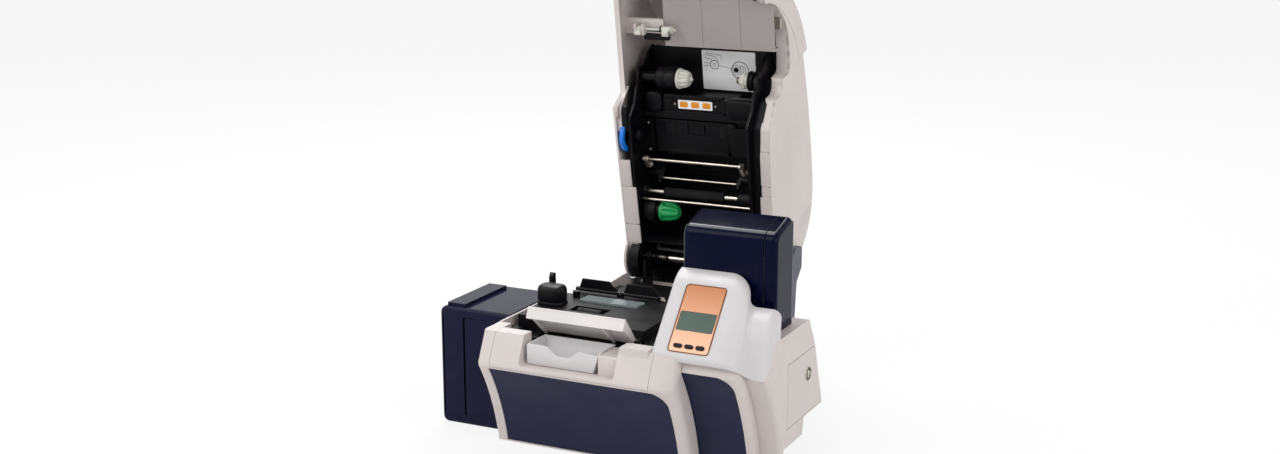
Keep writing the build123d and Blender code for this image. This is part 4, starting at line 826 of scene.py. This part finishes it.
class PRINTER_OT_lever(bpy.types.Operator):
    """Sweep the blue finger grip of the head lever and turn the black boss that it swings on."""

    bl_idname = "printer.lever"
    bl_label = "Head lever"

    def execute(self, context):
        centre, count = (-8.0, 189.0), 48
        t = np.linspace(0, 1, count)
        turn = radians(86) + radians(188) * t
        fat = np.sqrt(np.clip(1 - (2 * t - 1) ** 8, 0.02, 1))
        ridge = 1 - 0.05 * np.clip(np.cos(40 * turn), 0, 1) * smooth((0.32 - np.abs(t - 0.5)) / 0.05)
        around = np.linspace(0, 2 * pi, 24, endpoint=False)
        across = np.sign(np.cos(around)) * np.abs(np.cos(around)) ** 0.5
        out = np.sign(np.sin(around)) * np.abs(np.sin(around)) ** 0.5
        radius = 19.0 + 3.9 * fat[:, None] * out * ridge[:, None]
        x = 10.4 + 3.3 * fat[:, None] * across
        points = np.stack([
            x, centre[0] + radius * np.cos(turn)[:, None], centre[1] + radius * np.sin(turn)[:, None]
        ], -1)
        piece("lever_grip", [skin(in_lid(points), round_the_back=True)], "lever", "lever_blue",
              replaces=("head_lever",))
        boss = rounded_profile([
            (0.0, 7.2), (3.2, 7.2), (3.4, 8.0), (4.6, 8.2), (7.2, 8.2, 0.6), (7.8, 9.2), (7.8, 14.6, 0.5),
            (7.0, 15.0), (7.6, 15.4, 0.3), (7.6, 17.4), (4.0, 17.5), (4.0, 22.6), (8.8, 22.7, 0.5),
            (8.8, 29.4, 0.8), (3.0, 29.4), (2.6, 30.4), (0.0, 30.6),
        ])
        spoke = block(in_lid, (-26.0, 185.2), (-6.0, 192.8), (8.4, 12.8), 2.2, 1.0)
        piece("lever_boss", [turned(boss, (in_lid, (-2.0, 189.0)), 60), spoke], "lever", "black_plastic")
        return {"FINISHED"}


def link(place, thick, spots, radii, edge=0.8, count=20):
    """A flat link round two spots: the hull of two circles, its edges rounded by a quarter circle.

    A point of the outline is a spot plus its circle's radius at an angle, the first circle's half
    turn past the tangents and then the second's.
    """
    (first, second), (ra, rb) = np.array(spots, float), radii
    way = second - first
    far = np.hypot(*way)
    lean, open_to = np.arctan2(way[1], way[0]), np.arccos((ra - rb) / far)
    one = lean + np.linspace(open_to, 2 * pi - open_to, count)
    two = lean + np.linspace(-open_to, open_to, count)
    t = np.linspace(0, pi / 2, 5)
    inset = np.concatenate([edge * (1 - np.sin(t)), edge * (1 - np.cos(t))])
    height = np.concatenate([thick[0] + edge * (1 - np.cos(t)), thick[1] - edge * (1 - np.sin(t))])
    rows = []
    for angle, spot, radius in ((one, first, ra), (two, second, rb)):
        ring = np.stack([np.cos(angle), np.sin(angle)], -1)
        rows.append(spot + (radius - inset)[:, None, None] * ring)
    outline = np.concatenate(rows, 1)
    x = np.broadcast_to(height[:, None, None], (*outline.shape[:2], 1))
    return skin(place(np.concatenate([x, outline], -1)), round_the_back=True)


class PRINTER_OT_rods(bpy.types.Operator):
    """Turn the polished rods with their grooved ends, and cast the bail's two arms."""

    bl_idname = "printer.rods"
    bl_label = "Rods and bail"

    def execute(self, context):
        pivot, spot = (18.0, 138.0), (10.0, 149.0)
        rod = rounded_profile([
            (0.0, 29.0), (1.6, 29.0), (2.3, 29.6), (2.3, 36.0), (1.7, 36.2), (1.7, 37.2), (2.1, 37.4),
            (2.1, 170.0), (1.7, 170.2), (1.7, 171.2), (2.3, 171.4), (2.3, 177.2), (1.6, 177.8), (0.0, 177.8),
        ])
        arms = []
        for low, outer in ((24.4, 31.4), (173.2, 180.4)):
            arms.append(link(in_lid, (low, outer), (pivot, spot), (5.6, 4.6), 1.2))
            arms.append(link(in_lid, (low + 1.2, outer - 1.2), (spot, (2.0, 152.0)), (3.8, 2.8), 1.0))
            arms.append(turned(rounded_profile([
                (0.0, low - 2.4), (2.4, low - 2.4), (2.9, low - 1.8), (2.9, outer + 2.2), (2.4, outer + 2.8),
                (0.0, outer + 2.8)]), (in_lid, pivot), 28))
        piece("bail_rod", [turned(rod, (in_lid, spot), 28)], "bail_arm", "steel", replaces=("bail",))
        piece("bail_arms", arms, "bail_arm", "steel", finish="cast_metal")
        guides = []
        for place, radius, left, right in (((20.0, 118.0), 1.6, 46.0, 166.0), ((-2.0, 92.0), 1.9, 22.4, 197.6)):
            guides.append(turned(rounded_profile([
                (0.0, left), (radius * 0.7, left), (radius, left + 0.6), (radius, left + 4.0),
                (radius * 0.72, left + 4.2), (radius * 0.72, left + 5.0), (radius, left + 5.2),
                (radius, right - 5.2), (radius * 0.72, right - 5.0), (radius * 0.72, right - 4.2),
                (radius, right - 4.0), (radius, right - 0.6), (radius * 0.7, right), (0.0, right)]),
                (in_lid, place), 24))
        piece("polished_rods", guides, "lid", "steel", replaces=("guide_rods",))
        clips = []
        for x in (41.0, 163.4):
            clips.append(link(in_lid, (x, x + 7.5), ((20.0, 118.0), (30.0, 124.0)), (4.0, 6.0), 1.0))
            clips.append(link(in_lid, (x + 2.0, x + 5.5), ((20.0, 118.0), (14.0, 114.0)), (3.2, 2.0), 0.6))
        for left, right in ((22.2, 44.0), (164.6, 197.8)):
            clips.append(link(in_lid, (left, right), ((28.0, 122.0), (44.0, 128.0)), (7.0, 9.0), 1.6))
        piece("rod_clips", clips, "lid", "black_plastic")
        return {"FINISHED"}


class PRINTER_OT_rollers(bpy.types.Operator):
    """Turn the platen's ground shaft with its seats and the rubber sleeve with rounded ends."""

    bl_idname = "printer.rollers"
    bl_label = "Platen roller"

    def execute(self, context):
        spot = (10.0, 100.0)
        shaft = rounded_profile([
            (0.0, 19.2), (3.0, 19.2), (3.5, 19.8), (3.5, 33.0), (2.9, 33.2), (2.9, 34.2), (3.5, 34.4),
            (3.5, 148.0 + 19.6), (2.9, 167.8), (2.9, 168.8), (3.5, 169.0), (3.5, 200.2), (3.0, 200.8),
            (0.0, 200.8)])
        sleeve = [
            (3.5, 54.2), (6.4, 54.2), (6.9, 54.7), (6.95, 60.0), (7.0, 101.0), (6.95, 142.0), (6.9, 147.3),
            (6.4, 147.8), (3.5, 147.8)]
        piece("platen_steel", [turned(shaft, (in_lid, spot), 36)], "platen", "steel", replaces=("platen_shaft",))
        piece("platen_sleeve", [turned(sleeve, (in_lid, spot), 64)], "platen", "rubber_black",
              replaces=("platen_rubber",))
        cups = []
        for low, high, radius in ((22.2, 27.8, 10.6), (189.0, 197.8, 12.0)):
            cups.append(turned(rounded_profile([
                (4.0, low), (radius, low), (radius, low + 0.2), (radius, high - 1.4, 0.8), (radius - 1.6, high, 0.5),
                (6.6, high), (6.2, high - 1.2), (4.0, high - 1.2)]), (in_lid, spot), 48))
        piece("platen_cups", cups, "lid", "black_plastic")
        return {"FINISHED"}


def rim_depth(d):
    """Depth n of the lid's rim at a length d from the hinge: a line from the hinge end to the step."""
    return -20.0 - 8.0 * (np.asarray(d, float) - 34.0) / 202.0


def rim_panel(x, d, proud, thick=2.6, corner=1.6, edge=0.55, steps=5):
    """A rounded panel that lies along the lid's rim: a rounded rectangle in x and d, with its edges
    rolled over by a quarter circle, and its depth following the rim's line."""
    t = np.linspace(0, pi / 2, steps)
    inset = np.concatenate([[edge, 0.0], edge * (1 - np.cos(t))])
    rise = np.concatenate([[-thick, -thick + 0.4], -edge * (1 - np.sin(t))])
    t = np.linspace(0, pi / 2, steps + 1)
    quarter = (np.arange(4)[:, None] * pi / 2 + t[None, :]).ravel()
    side = np.repeat(np.array([[1, 1], [-1, 1], [-1, -1], [1, -1]]), steps + 1, axis=0)
    middle = np.array([(x[0] + x[1]) / 2, (d[0] + d[1]) / 2])
    half = np.array([(x[1] - x[0]) / 2, (d[1] - d[0]) / 2]) - corner
    ring = np.stack([np.cos(quarter), np.sin(quarter)], -1)
    outline = middle + side * half + (corner - inset)[:, None, None] * ring
    n = rim_depth(outline[..., 1]) - proud - rise[:, None]
    return skin(in_lid(np.stack([outline[..., 0], n, outline[..., 1]], -1)), round_the_back=True)


# The lid's right wall as seen in the photograph: depth n and length d of its front edge, and the
# left side x of the moulded band along it.
RIGHT_EDGE = (
    (-17.0, 38.0), (-16.4, 60.0), (-14.0, 173.0), (-9.0, 215.0), (2.0, 226.0), (11.0, 237.0), (20.0, 249.0),
    (39.0, 250.0), (46.0, 258.0), (47.0, 270.0), (74.0, 272.0), (76.0, 289.0), (77.0, 306.0), (74.0, 329.0),
    (65.0, 350.0), (34.0, 379.0), (14.0, 391.0),
)
BAND_LEFT = ((38.0, 217.0), (187.0, 215.5), (216.0, 217.0), (243.0, 217.0), (249.0, 212.5), (268.0, 213.0),
             (272.0, 209.5), (330.0, 210.0), (364.0, 209.0), (391.0, 209.0))


def edge_line(count=420, window=9):
    """The front edge evenly resampled and rounded by a moving average, and the band's left side."""
    line = evenly(RIGHT_EDGE, count)
    soft = np.ones(window) / window
    padded = np.pad(line, ((window // 2, window // 2), (0, 0)), mode="edge")
    line = np.stack([np.convolve(padded[:, k], soft, mode="valid") for k in range(2)], -1)
    spots = np.array(BAND_LEFT)
    return line, np.interp(line[:, 1], spots[:, 0], spots[:, 1])


def band(line, left, right, thick, edge=0.8, shift=0.0, steps=4):
    """A strip along a line in n and d: a rounded rectangle from left to right in x, swept along it.

    Its thickness runs from shift to shift + thick along the line's normal, which points into the lid
    where the line climbs.
    """
    ahead = np.gradient(line, axis=0)
    ahead /= np.maximum(np.linalg.norm(ahead, axis=1, keepdims=True), 1e-9)
    inward = np.stack([ahead[:, 1], -ahead[:, 0]], -1)
    t = np.linspace(0, pi / 2, steps)
    edge = min(edge, thick / 2.02)
    corners = []
    for k, (side, top) in enumerate(((0, 0), (1, 0), (1, 1), (0, 1))):
        turn = pi + k * pi / 2 + t
        dx = (edge if side == 0 else -edge) + edge * np.cos(turn)
        off = (edge if top == 0 else thick - edge) + edge * np.sin(turn)
        corners.append(np.stack([np.full(steps, side, float), dx, off], -1))
    side, dx, off = np.concatenate(corners).T
    right = np.broadcast_to(right, left.shape)
    x = left[:, None] * (1 - side) + right[:, None] * side + dx
    flat = line[:, None] + inward[:, None] * (shift + off)[None, :, None]
    return skin(in_lid(np.concatenate([x[..., None], flat], -1)), round_the_back=True)


def carved(name, node, cutters, body, slot):
    """A merged copy of a node's mesh with closed skins cut out of it, which stands in for the node."""
    work = bmesh.new()
    work.from_mesh(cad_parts[node].data)
    bmesh.ops.remove_doubles(work, verts=work.verts, dist=1e-6)
    bmesh.ops.recalc_face_normals(work, faces=work.faces)
    mesh = bpy.data.meshes.new(name)
    work.to_mesh(mesh)
    work.free()
    whole = bpy.data.objects.new(name, mesh)
    bpy.context.scene.collection.objects.link(whole)
    tool = piece(name + "_cutter", cutters, body, slot, flat=True)
    cut = whole.modifiers.new("cut", "BOOLEAN")
    cut.operation, cut.solver, cut.object = "DIFFERENCE", "EXACT", tool
    graph = bpy.context.evaluated_depsgraph_get()
    graph.update()
    result = bpy.data.meshes.new_from_object(whole.evaluated_get(graph), depsgraph=graph)
    whole.modifiers.clear()
    bpy.data.objects.remove(tool)
    if len(result.polygons) == 0:
        raise RuntimeError(f"nothing is left of {node}")
    work = bmesh.new()
    work.from_mesh(result)
    bmesh.ops.remove_doubles(work, verts=work.verts, dist=1e-6)
    bmesh.ops.dissolve_degenerate(work, edges=work.edges, dist=1e-7)
    bmesh.ops.recalc_face_normals(work, faces=work.faces)
    work.to_mesh(result)
    work.free()
    whole.data = result
    result.materials.clear()
    result.materials.append(FINISHES[slot])
    result.shade_smooth()
    result.set_sharp_from_angle(angle=radians(32.0))
    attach(whole, body)
    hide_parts(node)
    return whole


class PRINTER_OT_rims(bpy.types.Operator):
    """Line both sides of the lid's mouth with the stepped, jointed panels of its moulded rim."""

    bl_idname = "printer.rims"
    bl_label = "Lid rims"

    def execute(self, context):
        left = [((3.3, 17.6), (117.2, 157.6), 0.5), ((3.3, 24.0), (58.0, 116.2), 0.5),
                ((3.3, 24.0), (28.0, 57.0), 0.5), ((3.3, 21.0), (2.0, 27.0), 0.3)]
        piece("left_rim", [rim_panel(*each) for each in left], "lid", "body_grey")
        cutter = np.array([*RIGHT_EDGE, (-90.0, 391.0), (-90.0, 38.0)])
        x = np.broadcast_to(np.array([199.0, 232.0])[:, None, None], (2, len(cutter), 1))
        cutter = np.concatenate([x, np.broadcast_to(cutter, (2, *cutter.shape))], -1)
        carved("lid_outer", "lid_shell", [skin(in_lid(cutter), round_the_back=True)], "lid", "body_grey")
        line, inner = edge_line()
        shell = band(line, inner, 229.4, 2.6, 0.9)
        piece("right_rim", [shell], "lid", "body_grey")
        steps = []
        for low, high, left_x, proud in (
            (40.0, 80.0, 216.0, 0.9), (81.0, 118.0, 214.0, 2.0), (119.0, 132.0, 216.0, 0.9),
            (133.0, 182.0, 215.6, 0.9), (183.0, 222.0, 216.4, 0.9),
        ):
            here = (line[:, 1] > low) & (line[:, 1] < high)
            steps.append(band(line[here], inner[here] * 0 + left_x, 229.2, 2.2, 0.6, -proud))
        piece("right_rim_panels", steps, "lid", "body_grey")
        high = line[:, 1] > 60.0
        cheek = band(line[high], 198.6 + 0 * inner[high], inner[high] + 4.0, 2.0, 0.7, 2.9)
        piece("right_cheek", [cheek], "lid", "black_plastic")
        bracket = [
            tall_block(in_lid, (206.0, 338.0), (226.0, 353.0), (58.0, 62.5), 2.4, 0.8),
            block(in_lid, (46.0, 339.0), (60.0, 352.0), (206.0, 208.6), 2.4, 0.7),
            turned([(0.0, 204.6), (2.6, 204.6), (3.0, 205.0), (3.0, 210.0), (0.0, 210.2)], (in_lid, (50.0, 345.0)), 24),
        ]
        piece("catch_bracket", bracket, "lid", "steel", finish="cast_metal")
        arc = np.linspace(radians(-76), radians(26), 60)
        guard = np.stack([-33.6 * np.sin(arc), 33.6 * np.cos(arc)], -1)
        piece("hinge_guard", [band(guard[::-1], 18.4 + 0 * arc, 222.0, 1.6, 0.7)], "lid", "black_plastic")
        skirt = np.linspace(radians(-10), radians(-88), 50)
        liner = np.stack([39.8 * np.cos(skirt), 39.8 * np.sin(skirt)], -1)
        piece("skirt_liner", [band(liner, 9.0 + 0 * skirt, 221.0, 1.2, 0.5)], "lid", "black_plastic")
        low = np.linspace(200, 258, 60)
        left_line = np.stack([np.interp(low, (200, 228, 236, 258), (-22.5, -23.6, -21.0, 8.0)), low], -1)
        piece("left_cheek", [band(left_line[:40], 10.6 + 0 * low[:40], 18.2, 2.4, 0.8, 1.0)], "lid", "black_plastic")
        piece("left_rim_top", [band(left_line, 2.6 + 0 * left_line[:, 0], 9.8, 2.4, 0.8)], "lid", "body_grey")
        return {"FINISHED"}


class PRINTER_OT_nose(bpy.types.Operator):
    """Dress the lid's nose from below with the claw and its arm, and set the carriage's blocks."""

    bl_idname = "printer.nose"
    bl_label = "Nose fittings"

    def execute(self, context):
        claw = [
            link(in_lid, (66.0, 80.0), ((20.0, 340.0), (14.0, 343.0)), (5.0, 3.8), 1.0),
            link(in_lid, (68.0, 78.0), ((14.0, 343.0), (8.4, 339.0)), (3.6, 2.4), 0.8),
            link(in_lid, (68.0, 78.0), ((8.4, 339.0), (8.8, 335.0)), (2.4, 1.4), 0.6),
            turned(rounded_profile([(0.0, 20.4), (1.9, 20.4), (1.9, 84.0), (0.0, 84.0)]), (in_lid, (20.0, 340.0)), 24),
            link(in_lid, (26.0, 33.6), ((20.0, 340.0), (12.0, 336.0)), (4.6, 3.4), 0.8),
        ]
        piece("claw_hook", claw, "claw", "hub_white", replaces=("latch_claw",))
        arm = [
            link(in_lid, (60.0, 64.6), ((22.0, 340.0), (36.0, 331.0)), (5.0, 6.0), 0.9),
            tall_block(in_lid, (30.0, 322.0), (70.0, 332.0), (27.0, 33.0), 3.0, 1.2),
            tall_block(in_lid, (30.0, 334.0), (58.0, 340.0), (27.0, 31.0), 2.0, 0.9),
        ]
        piece("claw_arm", arm, "lid", "black_plastic")
        blocks = [
            tall_block(in_lid, (23.4, 214.0), (51.0, 246.0), (24.6, 44.0), 9.0, 4.0),
            tall_block(in_lid, (148.0, 211.0), (196.6, 241.0), (25.2, 44.0), 10.0, 4.4),
            tall_block(in_lid, (54.0, 214.0), (146.0, 219.0), (27.4, 36.0), 2.0, 0.9),
            tall_block(in_lid, (54.0, 238.0), (146.0, 243.0), (27.4, 36.0), 2.0, 0.9),
            tall_block(in_lid, (49.0, 150.0), (71.0, 204.0), (29.6, 40.0), 6.0, 3.0),
            tall_block(in_lid, (134.0, 158.0), (166.0, 206.0), (28.4, 40.0), 12.0, 5.0),
            tall_block(in_lid, (74.0, 158.0), (99.0, 176.0), (32.2, 38.0), 2.0, 0.8),
            tall_block(in_lid, (103.0, 158.0), (130.0, 176.0), (32.2, 38.0), 2.0, 0.8),
            tall_block(in_lid, (74.0, 186.0), (130.0, 203.0), (32.0, 38.0), 3.0, 1.2),
        ]
        piece("carriage_blocks", blocks, "lid", "black_plastic")
        return {"FINISHED"}


def stroke(place, path, width=0.35, high=0.12, closed=False):
    """A printed line: a low ridge along a path in x and d on a plate whose face is at a depth n."""
    path = np.asarray(path, float)
    ahead = np.gradient(path[:, [0, 2]], axis=0)
    if closed:
        ahead = np.roll(path, -1, axis=0)[:, [0, 2]] - np.roll(path, 1, axis=0)[:, [0, 2]]
    ahead /= np.maximum(np.linalg.norm(ahead, axis=1, keepdims=True), 1e-9)
    side = np.stack([-ahead[:, 1], np.zeros(len(path)), ahead[:, 0]], -1)
    up = np.array([0.0, -1.0, 0.0])
    section = [(-0.5, -0.3), (-0.5, 0.6), (-0.2, 1.0), (0.2, 1.0), (0.5, 0.6), (0.5, -0.3)]
    points = np.stack([path + side * width * a + up * high * b for a, b in section], 1)
    return skin(place(points), round_the_back=True, closed_length=closed)


class PRINTER_OT_plates(bpy.types.Operator):
    """Lay the two printed plates: a made-up line drawing of a spool and its path, and plain blocks."""

    bl_idname = "printer.plates"
    bl_label = "Printed plates"

    def execute(self, context):
        face = 70.9
        turn = np.linspace(0, 2 * pi, 48, endpoint=False)

        def ring(x, d, radius):
            return np.stack([x + radius * np.cos(turn), 0 * turn + face, d + radius * np.sin(turn)], -1)

        def line(*spots):
            return np.array([(x, face, d) for x, d in spots])

        lines = [stroke(in_lid, ring(*each), width, closed=True) for each, width in (
            ((117.0, 277.0, 6.4), 0.8), ((156.0, 271.0, 12.6), 0.9), ((150.0, 271.0, 4.6), 0.6),
            ((150.0, 271.0, 7.2), 0.6), ((117.0, 277.0, 2.2), 0.5))]
        lines += [stroke(in_lid, line(*each), 0.5) for each in (
            [(123.4, 276.0), (143.6, 272.6)], [(101.0, 292.0), (118.0, 289.0), (122.0, 284.0), (122.0, 280.0)],
            [(101.0, 287.0), (112.0, 285.0), (114.0, 283.0)], [(101.0, 280.0), (110.4, 278.4)],
            [(101.0, 275.0), (110.6, 275.6)], [(157.0, 265.0), (157.0, 277.6)], [(160.6, 265.0), (160.6, 277.2)],
            [(164.4, 266.4), (164.4, 275.6)], [(157.0, 277.6), (164.4, 275.6)], [(157.0, 265.0), (164.4, 266.4)],
            [(104.0, 294.6), (128.0, 291.0), (128.0, 284.6)])]
        piece("drawing_lines", lines, "lid", "black_plastic")
        spool = [turned([(0.0, 0.0), (3.6, 0.0), (3.6, 0.18), (3.2, 0.3), (0.0, 0.3)],
                        (lambda p: in_lid(np.stack([p[..., 1] + 150.0, face + 0.05 - p[..., 0], p[..., 2] + 271.0], -1)),
                         (0.0, 0.0)), 40)]
        piece("drawing_spool", spool, "lid", "black_plastic")
        blocks = []
        for x in (84.0, 101.5, 119.0):
            blocks.append(tall_block(in_lid, (x - 6.2, 224.4), (x + 6.2, 232.8), (29.75, 30.1), 2.2, 0.15))
        piece("orange_blocks", blocks, "lid", "plate_white", finish="orange_print")
        return {"FINISHED"}


class PRINTER_OT_front(bpy.types.Operator):
    """Round off the front: the ledge beside the tray, the hopper's two rests and the door lock's rosette."""

    bl_idname = "printer.front"
    bl_label = "Front details"

    def execute(self, context):
        ledge = [tall_block(in_body, (163.0, -31.6), (196.8, 12.0), (119.0, 146.6), 1.6, 1.2)]
        piece("tray_ledge", ledge, "base", "body_grey")
        drive = [
            tall_block(in_body, (8.2, 88.2), (45.8, 116.3), (162.6, 188.8), 10.5, 7.0),
            tall_block(in_body, (7.6, 87.4), (46.4, 117.0), (162.4, 167.0), 10.8, 1.4),
            link(in_body, (9.4, 15.6), ((130.4, 168.0), (129.0, 191.4)), (6.0, 4.4), 1.6),
        ]
        piece("drive_cap", drive, "base", "black_plastic", replaces=("drive_block",))
        low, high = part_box("door_lock")
        centre = ((low + high) / 2 * 1000)

        def lock_place(points):
            along, first, second = np.moveaxis(np.asarray(points, float), -1, 0)
            return np.stack([high.x * 1000 - 0.5 + 0.16 * along, centre.y + first, centre.z + second], -1) / 1000.0

        turn = np.linspace(0, 2 * pi, 72, endpoint=False)
        ring = [tube(lock_place, np.stack([0 * turn, radius * np.cos(turn), radius * np.sin(turn)], -1), 0.45, 8,
                     closed=True) for radius in (8.5, 9.2)]
        # Painted shade: a flat black disc inside the ring stands for the shadow in the lock's recess; no hollow is cut.
        shade_disc = turned([(0.0, 0.1), (8.0, 0.1), (8.0, 0.7), (0.0, 0.7)], (lock_place, (0.0, 0.0)), 48)
        core = turned(rounded_profile([(0.0, -8.0), (4.6, -8.0), (4.8, 2.2, 0.4), (4.0, 2.9), (0.0, 3.0)]),
                      (lock_place, (0.0, 0.0)), 72, lambda turn, along: 1 + 0.24 * np.cos(3 * turn) * (along > 0))
        slot = block(lock_place, (-0.7, -2.6), (0.7, 2.6), (2.6, 3.05), 0.6, 0.2)
        piece("lock_ring", ring, "side_door", "steel")
        piece("lock_shade_disc", [shade_disc], "side_door", "black_plastic")
        piece("lock_core", [core], "lock", "steel", replaces=("door_lock",))
        piece("lock_slot", [slot], "lock", "black_plastic")
        return {"FINISHED"}


class PRINTER_OT_screws(bpy.types.Operator):
    """Drive the round-headed screws of the carriage and the deck."""

    bl_idname = "printer.screws"
    bl_label = "Screws"

    def execute(self, context):
        heads = [
            screw(in_lid, x, n, d, radius, 1.0) for x, n, d, radius in (
                (69.5, 31.0, 228.0, 1.7), (133.0, 31.0, 228.0, 1.7), (44.0, 31.0, 232.0, 1.5),
                (156.0, 31.0, 232.0, 1.5), (96.0, 34.0, 180.8, 1.3), (106.0, 34.0, 180.8, 1.3),
                (172.0, 34.0, 196.0, 1.8), (162.0, 34.0, 164.0, 1.8), (30.0, 22.0, 200.0, 1.6),
                (30.0, 22.0, 160.0, 1.6), (50.0, 66.0, 147.5, 1.4), (140.0, 66.0, 147.5, 1.4),
            )]
        piece("carriage_screws", heads, "lid", "steel")
        return {"FINISHED"}


# ---------------------------------------------------------------- stage
def floor_material():
    """Pale floor that the camera sees nearly white, with the object's soft shadow on it."""
    recipe = Recipe("pale_floor")
    tree = recipe.tree
    recipe.set(Roughness=0.9, Specular_IOR_Level=0.1)
    cloud = recipe.ranged(recipe.noise(2.0), 0.0, 1.0, 0.3, 0.7)
    recipe.join(recipe.mixed(cloud, (0.86, 0.86, 0.86), (0.88, 0.88, 0.88)), recipe.shader.inputs["Base Color"])
    glow = recipe.node("ShaderNodeEmission")
    glow.inputs["Strength"].default_value = 1.0
    path = recipe.node("ShaderNodeLightPath")
    seen = recipe.node("ShaderNodeMath", operation="MAXIMUM")
    recipe.join(path.outputs["Is Camera Ray"], seen.inputs[0])
    recipe.join(path.outputs["Is Glossy Ray"], seen.inputs[1])
    share = recipe.node("ShaderNodeMath", operation="MULTIPLY")
    recipe.join(seen.outputs[0], share.inputs[0])
    share.inputs[1].default_value = 0.84
    both = recipe.node("ShaderNodeMixShader")
    recipe.join(share.outputs[0], both.inputs[0])
    recipe.join(recipe.shader.outputs[0], both.inputs[1])
    recipe.join(glow.outputs[0], both.inputs[2])
    recipe.join(both.outputs[0], tree.nodes["Material Output"].inputs["Surface"])
    return recipe.material


def world_light(strength):
    """Even light for surfaces, white for what the camera, mirrors and glass see."""
    world = bpy.data.worlds.new("studio")
    world.use_nodes = True
    tree = world.node_tree
    back = tree.nodes["Background"]
    back.inputs["Color"].default_value = (1.0, 1.0, 1.0, 1.0)
    back.inputs["Strength"].default_value = strength
    white = tree.nodes.new("ShaderNodeBackground")
    white.inputs["Color"].default_value = (1.0, 1.0, 1.0, 1.0)
    path = tree.nodes.new("ShaderNodeLightPath")
    first = tree.nodes.new("ShaderNodeMath")
    first.operation = "MAXIMUM"
    second = tree.nodes.new("ShaderNodeMath")
    second.operation = "MAXIMUM"
    both = tree.nodes.new("ShaderNodeMixShader")
    tree.links.new(path.outputs["Is Camera Ray"], first.inputs[0])
    tree.links.new(path.outputs["Is Glossy Ray"], first.inputs[1])
    tree.links.new(first.outputs[0], second.inputs[0])
    tree.links.new(path.outputs["Is Transmission Ray"], second.inputs[1])
    tree.links.new(second.outputs[0], both.inputs[0])
    tree.links.new(back.outputs[0], both.inputs[1])
    tree.links.new(white.outputs[0], both.inputs[2])
    tree.links.new(both.outputs[0], tree.nodes["World Output"].inputs["Surface"])
    bpy.context.scene.world = world


def soft_light(name, place, aim, size, power):
    """A square softbox at a place, turned to a point."""
    data = bpy.data.lights.new(name, "AREA")
    data.shape = "RECTANGLE"
    data.size, data.size_y = size
    data.energy = power
    lamp = bpy.data.objects.new(name, data)
    bpy.context.scene.collection.objects.link(lamp)
    lamp.location = place
    way = np.array(aim) - np.array(place)
    lamp.rotation_euler = Vector(way).to_track_quat("-Z", "Y").to_euler()
    return lamp


LIGHTS = (
    ("key_light", (-1.6, -2.2, 2.3), (0.0, 0.0, 0.2), (1.8, 1.8), 34.0),
    ("fill_light", (2.6, -1.2, 1.5), (0.0, 0.0, 0.25), (1.6, 1.6), 20.0),
    ("back_light", (-0.85, 1.5, 2.05), (0.0, 0.0, 0.25), (1.0, 0.9), 34.0),
)


class PRINTER_OT_stage(bpy.types.Operator):
    """Set the plain floor, the soft lights and the camera."""

    bl_idname = "printer.stage"
    bl_label = "Stage, lights and camera"

    def execute(self, context):
        scene, settings = context.scene, context.scene.printer_stage
        scene.view_settings.view_transform = "Standard"
        world_light(settings.ambient)
        half = 40.0
        corners = [(-half, -half, 0.0), (half, -half, 0.0), (half, half, 0.0), (-half, half, 0.0)]
        mesh = bpy.data.meshes.new("floor")
        mesh.from_pydata(corners, [], [(0, 1, 2, 3)])
        floor = bpy.data.objects.new("floor", mesh)
        scene.collection.objects.link(floor)
        mesh.materials.append(floor_material())
        for light in LIGHTS:
            soft_light(*light)
        shine = soft_light("gloss_light", (-0.52, 0.22, 1.92), (0.16, -0.16, 0.3), (1.0, 1.0), 48.0)
        shine.visible_diffuse = False
        data = bpy.data.cameras.new("camera")
        data.sensor_fit, data.sensor_width = "HORIZONTAL", 36.0
        data.lens, data.shift_y = settings.lens, settings.rise
        data.clip_end = 200.0
        camera = bpy.data.objects.new("camera", data)
        scene.collection.objects.link(camera)
        camera.location = settings.eye
        camera.rotation_euler = (pi / 2 - settings.pitch, 0.0, settings.azimuth)
        scene.camera = camera
        return {"FINISHED"}


class PRINTER_PT_sidebar(bpy.types.Panel):
    """Lists the printer's pieces in the sidebar."""

    bl_idname = "PRINTER_PT_sidebar"
    bl_label = "ID card printer"
    bl_space_type = "VIEW_3D"
    bl_region_type = "UI"
    bl_category = "Card printer"

    def draw(self, context):
        for operator in OPERATORS:
            self.layout.operator(operator.bl_idname)
        for group in (context.scene.printer_colours, context.scene.printer_stage):
            for name in group.__annotations__:
                self.layout.prop(group, name)


OPERATORS = (
    PRINTER_OT_frame, PRINTER_OT_hood, PRINTER_OT_overlay, PRINTER_OT_tray, PRINTER_OT_hubs, PRINTER_OT_springs, PRINTER_OT_lever, PRINTER_OT_rods, PRINTER_OT_rollers, PRINTER_OT_rims, PRINTER_OT_nose, PRINTER_OT_plates, PRINTER_OT_screws, PRINTER_OT_front,
    PRINTER_OT_stage,
)
GROUPS = {"printer_colours": PrinterColours, "printer_stage": StageSettings}


def register():
    for group in GROUPS.values():
        bpy.utils.register_class(group)
    for operator in OPERATORS:
        bpy.utils.register_class(operator)
    bpy.utils.register_class(PRINTER_PT_sidebar)
    for name, group in GROUPS.items():
        setattr(bpy.types.Scene, name, PointerProperty(type=group))


def unregister():
    for name in GROUPS:
        delattr(bpy.types.Scene, name)
    bpy.utils.unregister_class(PRINTER_PT_sidebar)
    for made in (*OPERATORS, *GROUPS.values()):
        bpy.utils.unregister_class(made)


def main():
    register()
    for operator in OPERATORS:
        group, name = operator.bl_idname.split(".")
        getattr(getattr(bpy.ops, group), name)()


if __name__ == "__main__":
    main()
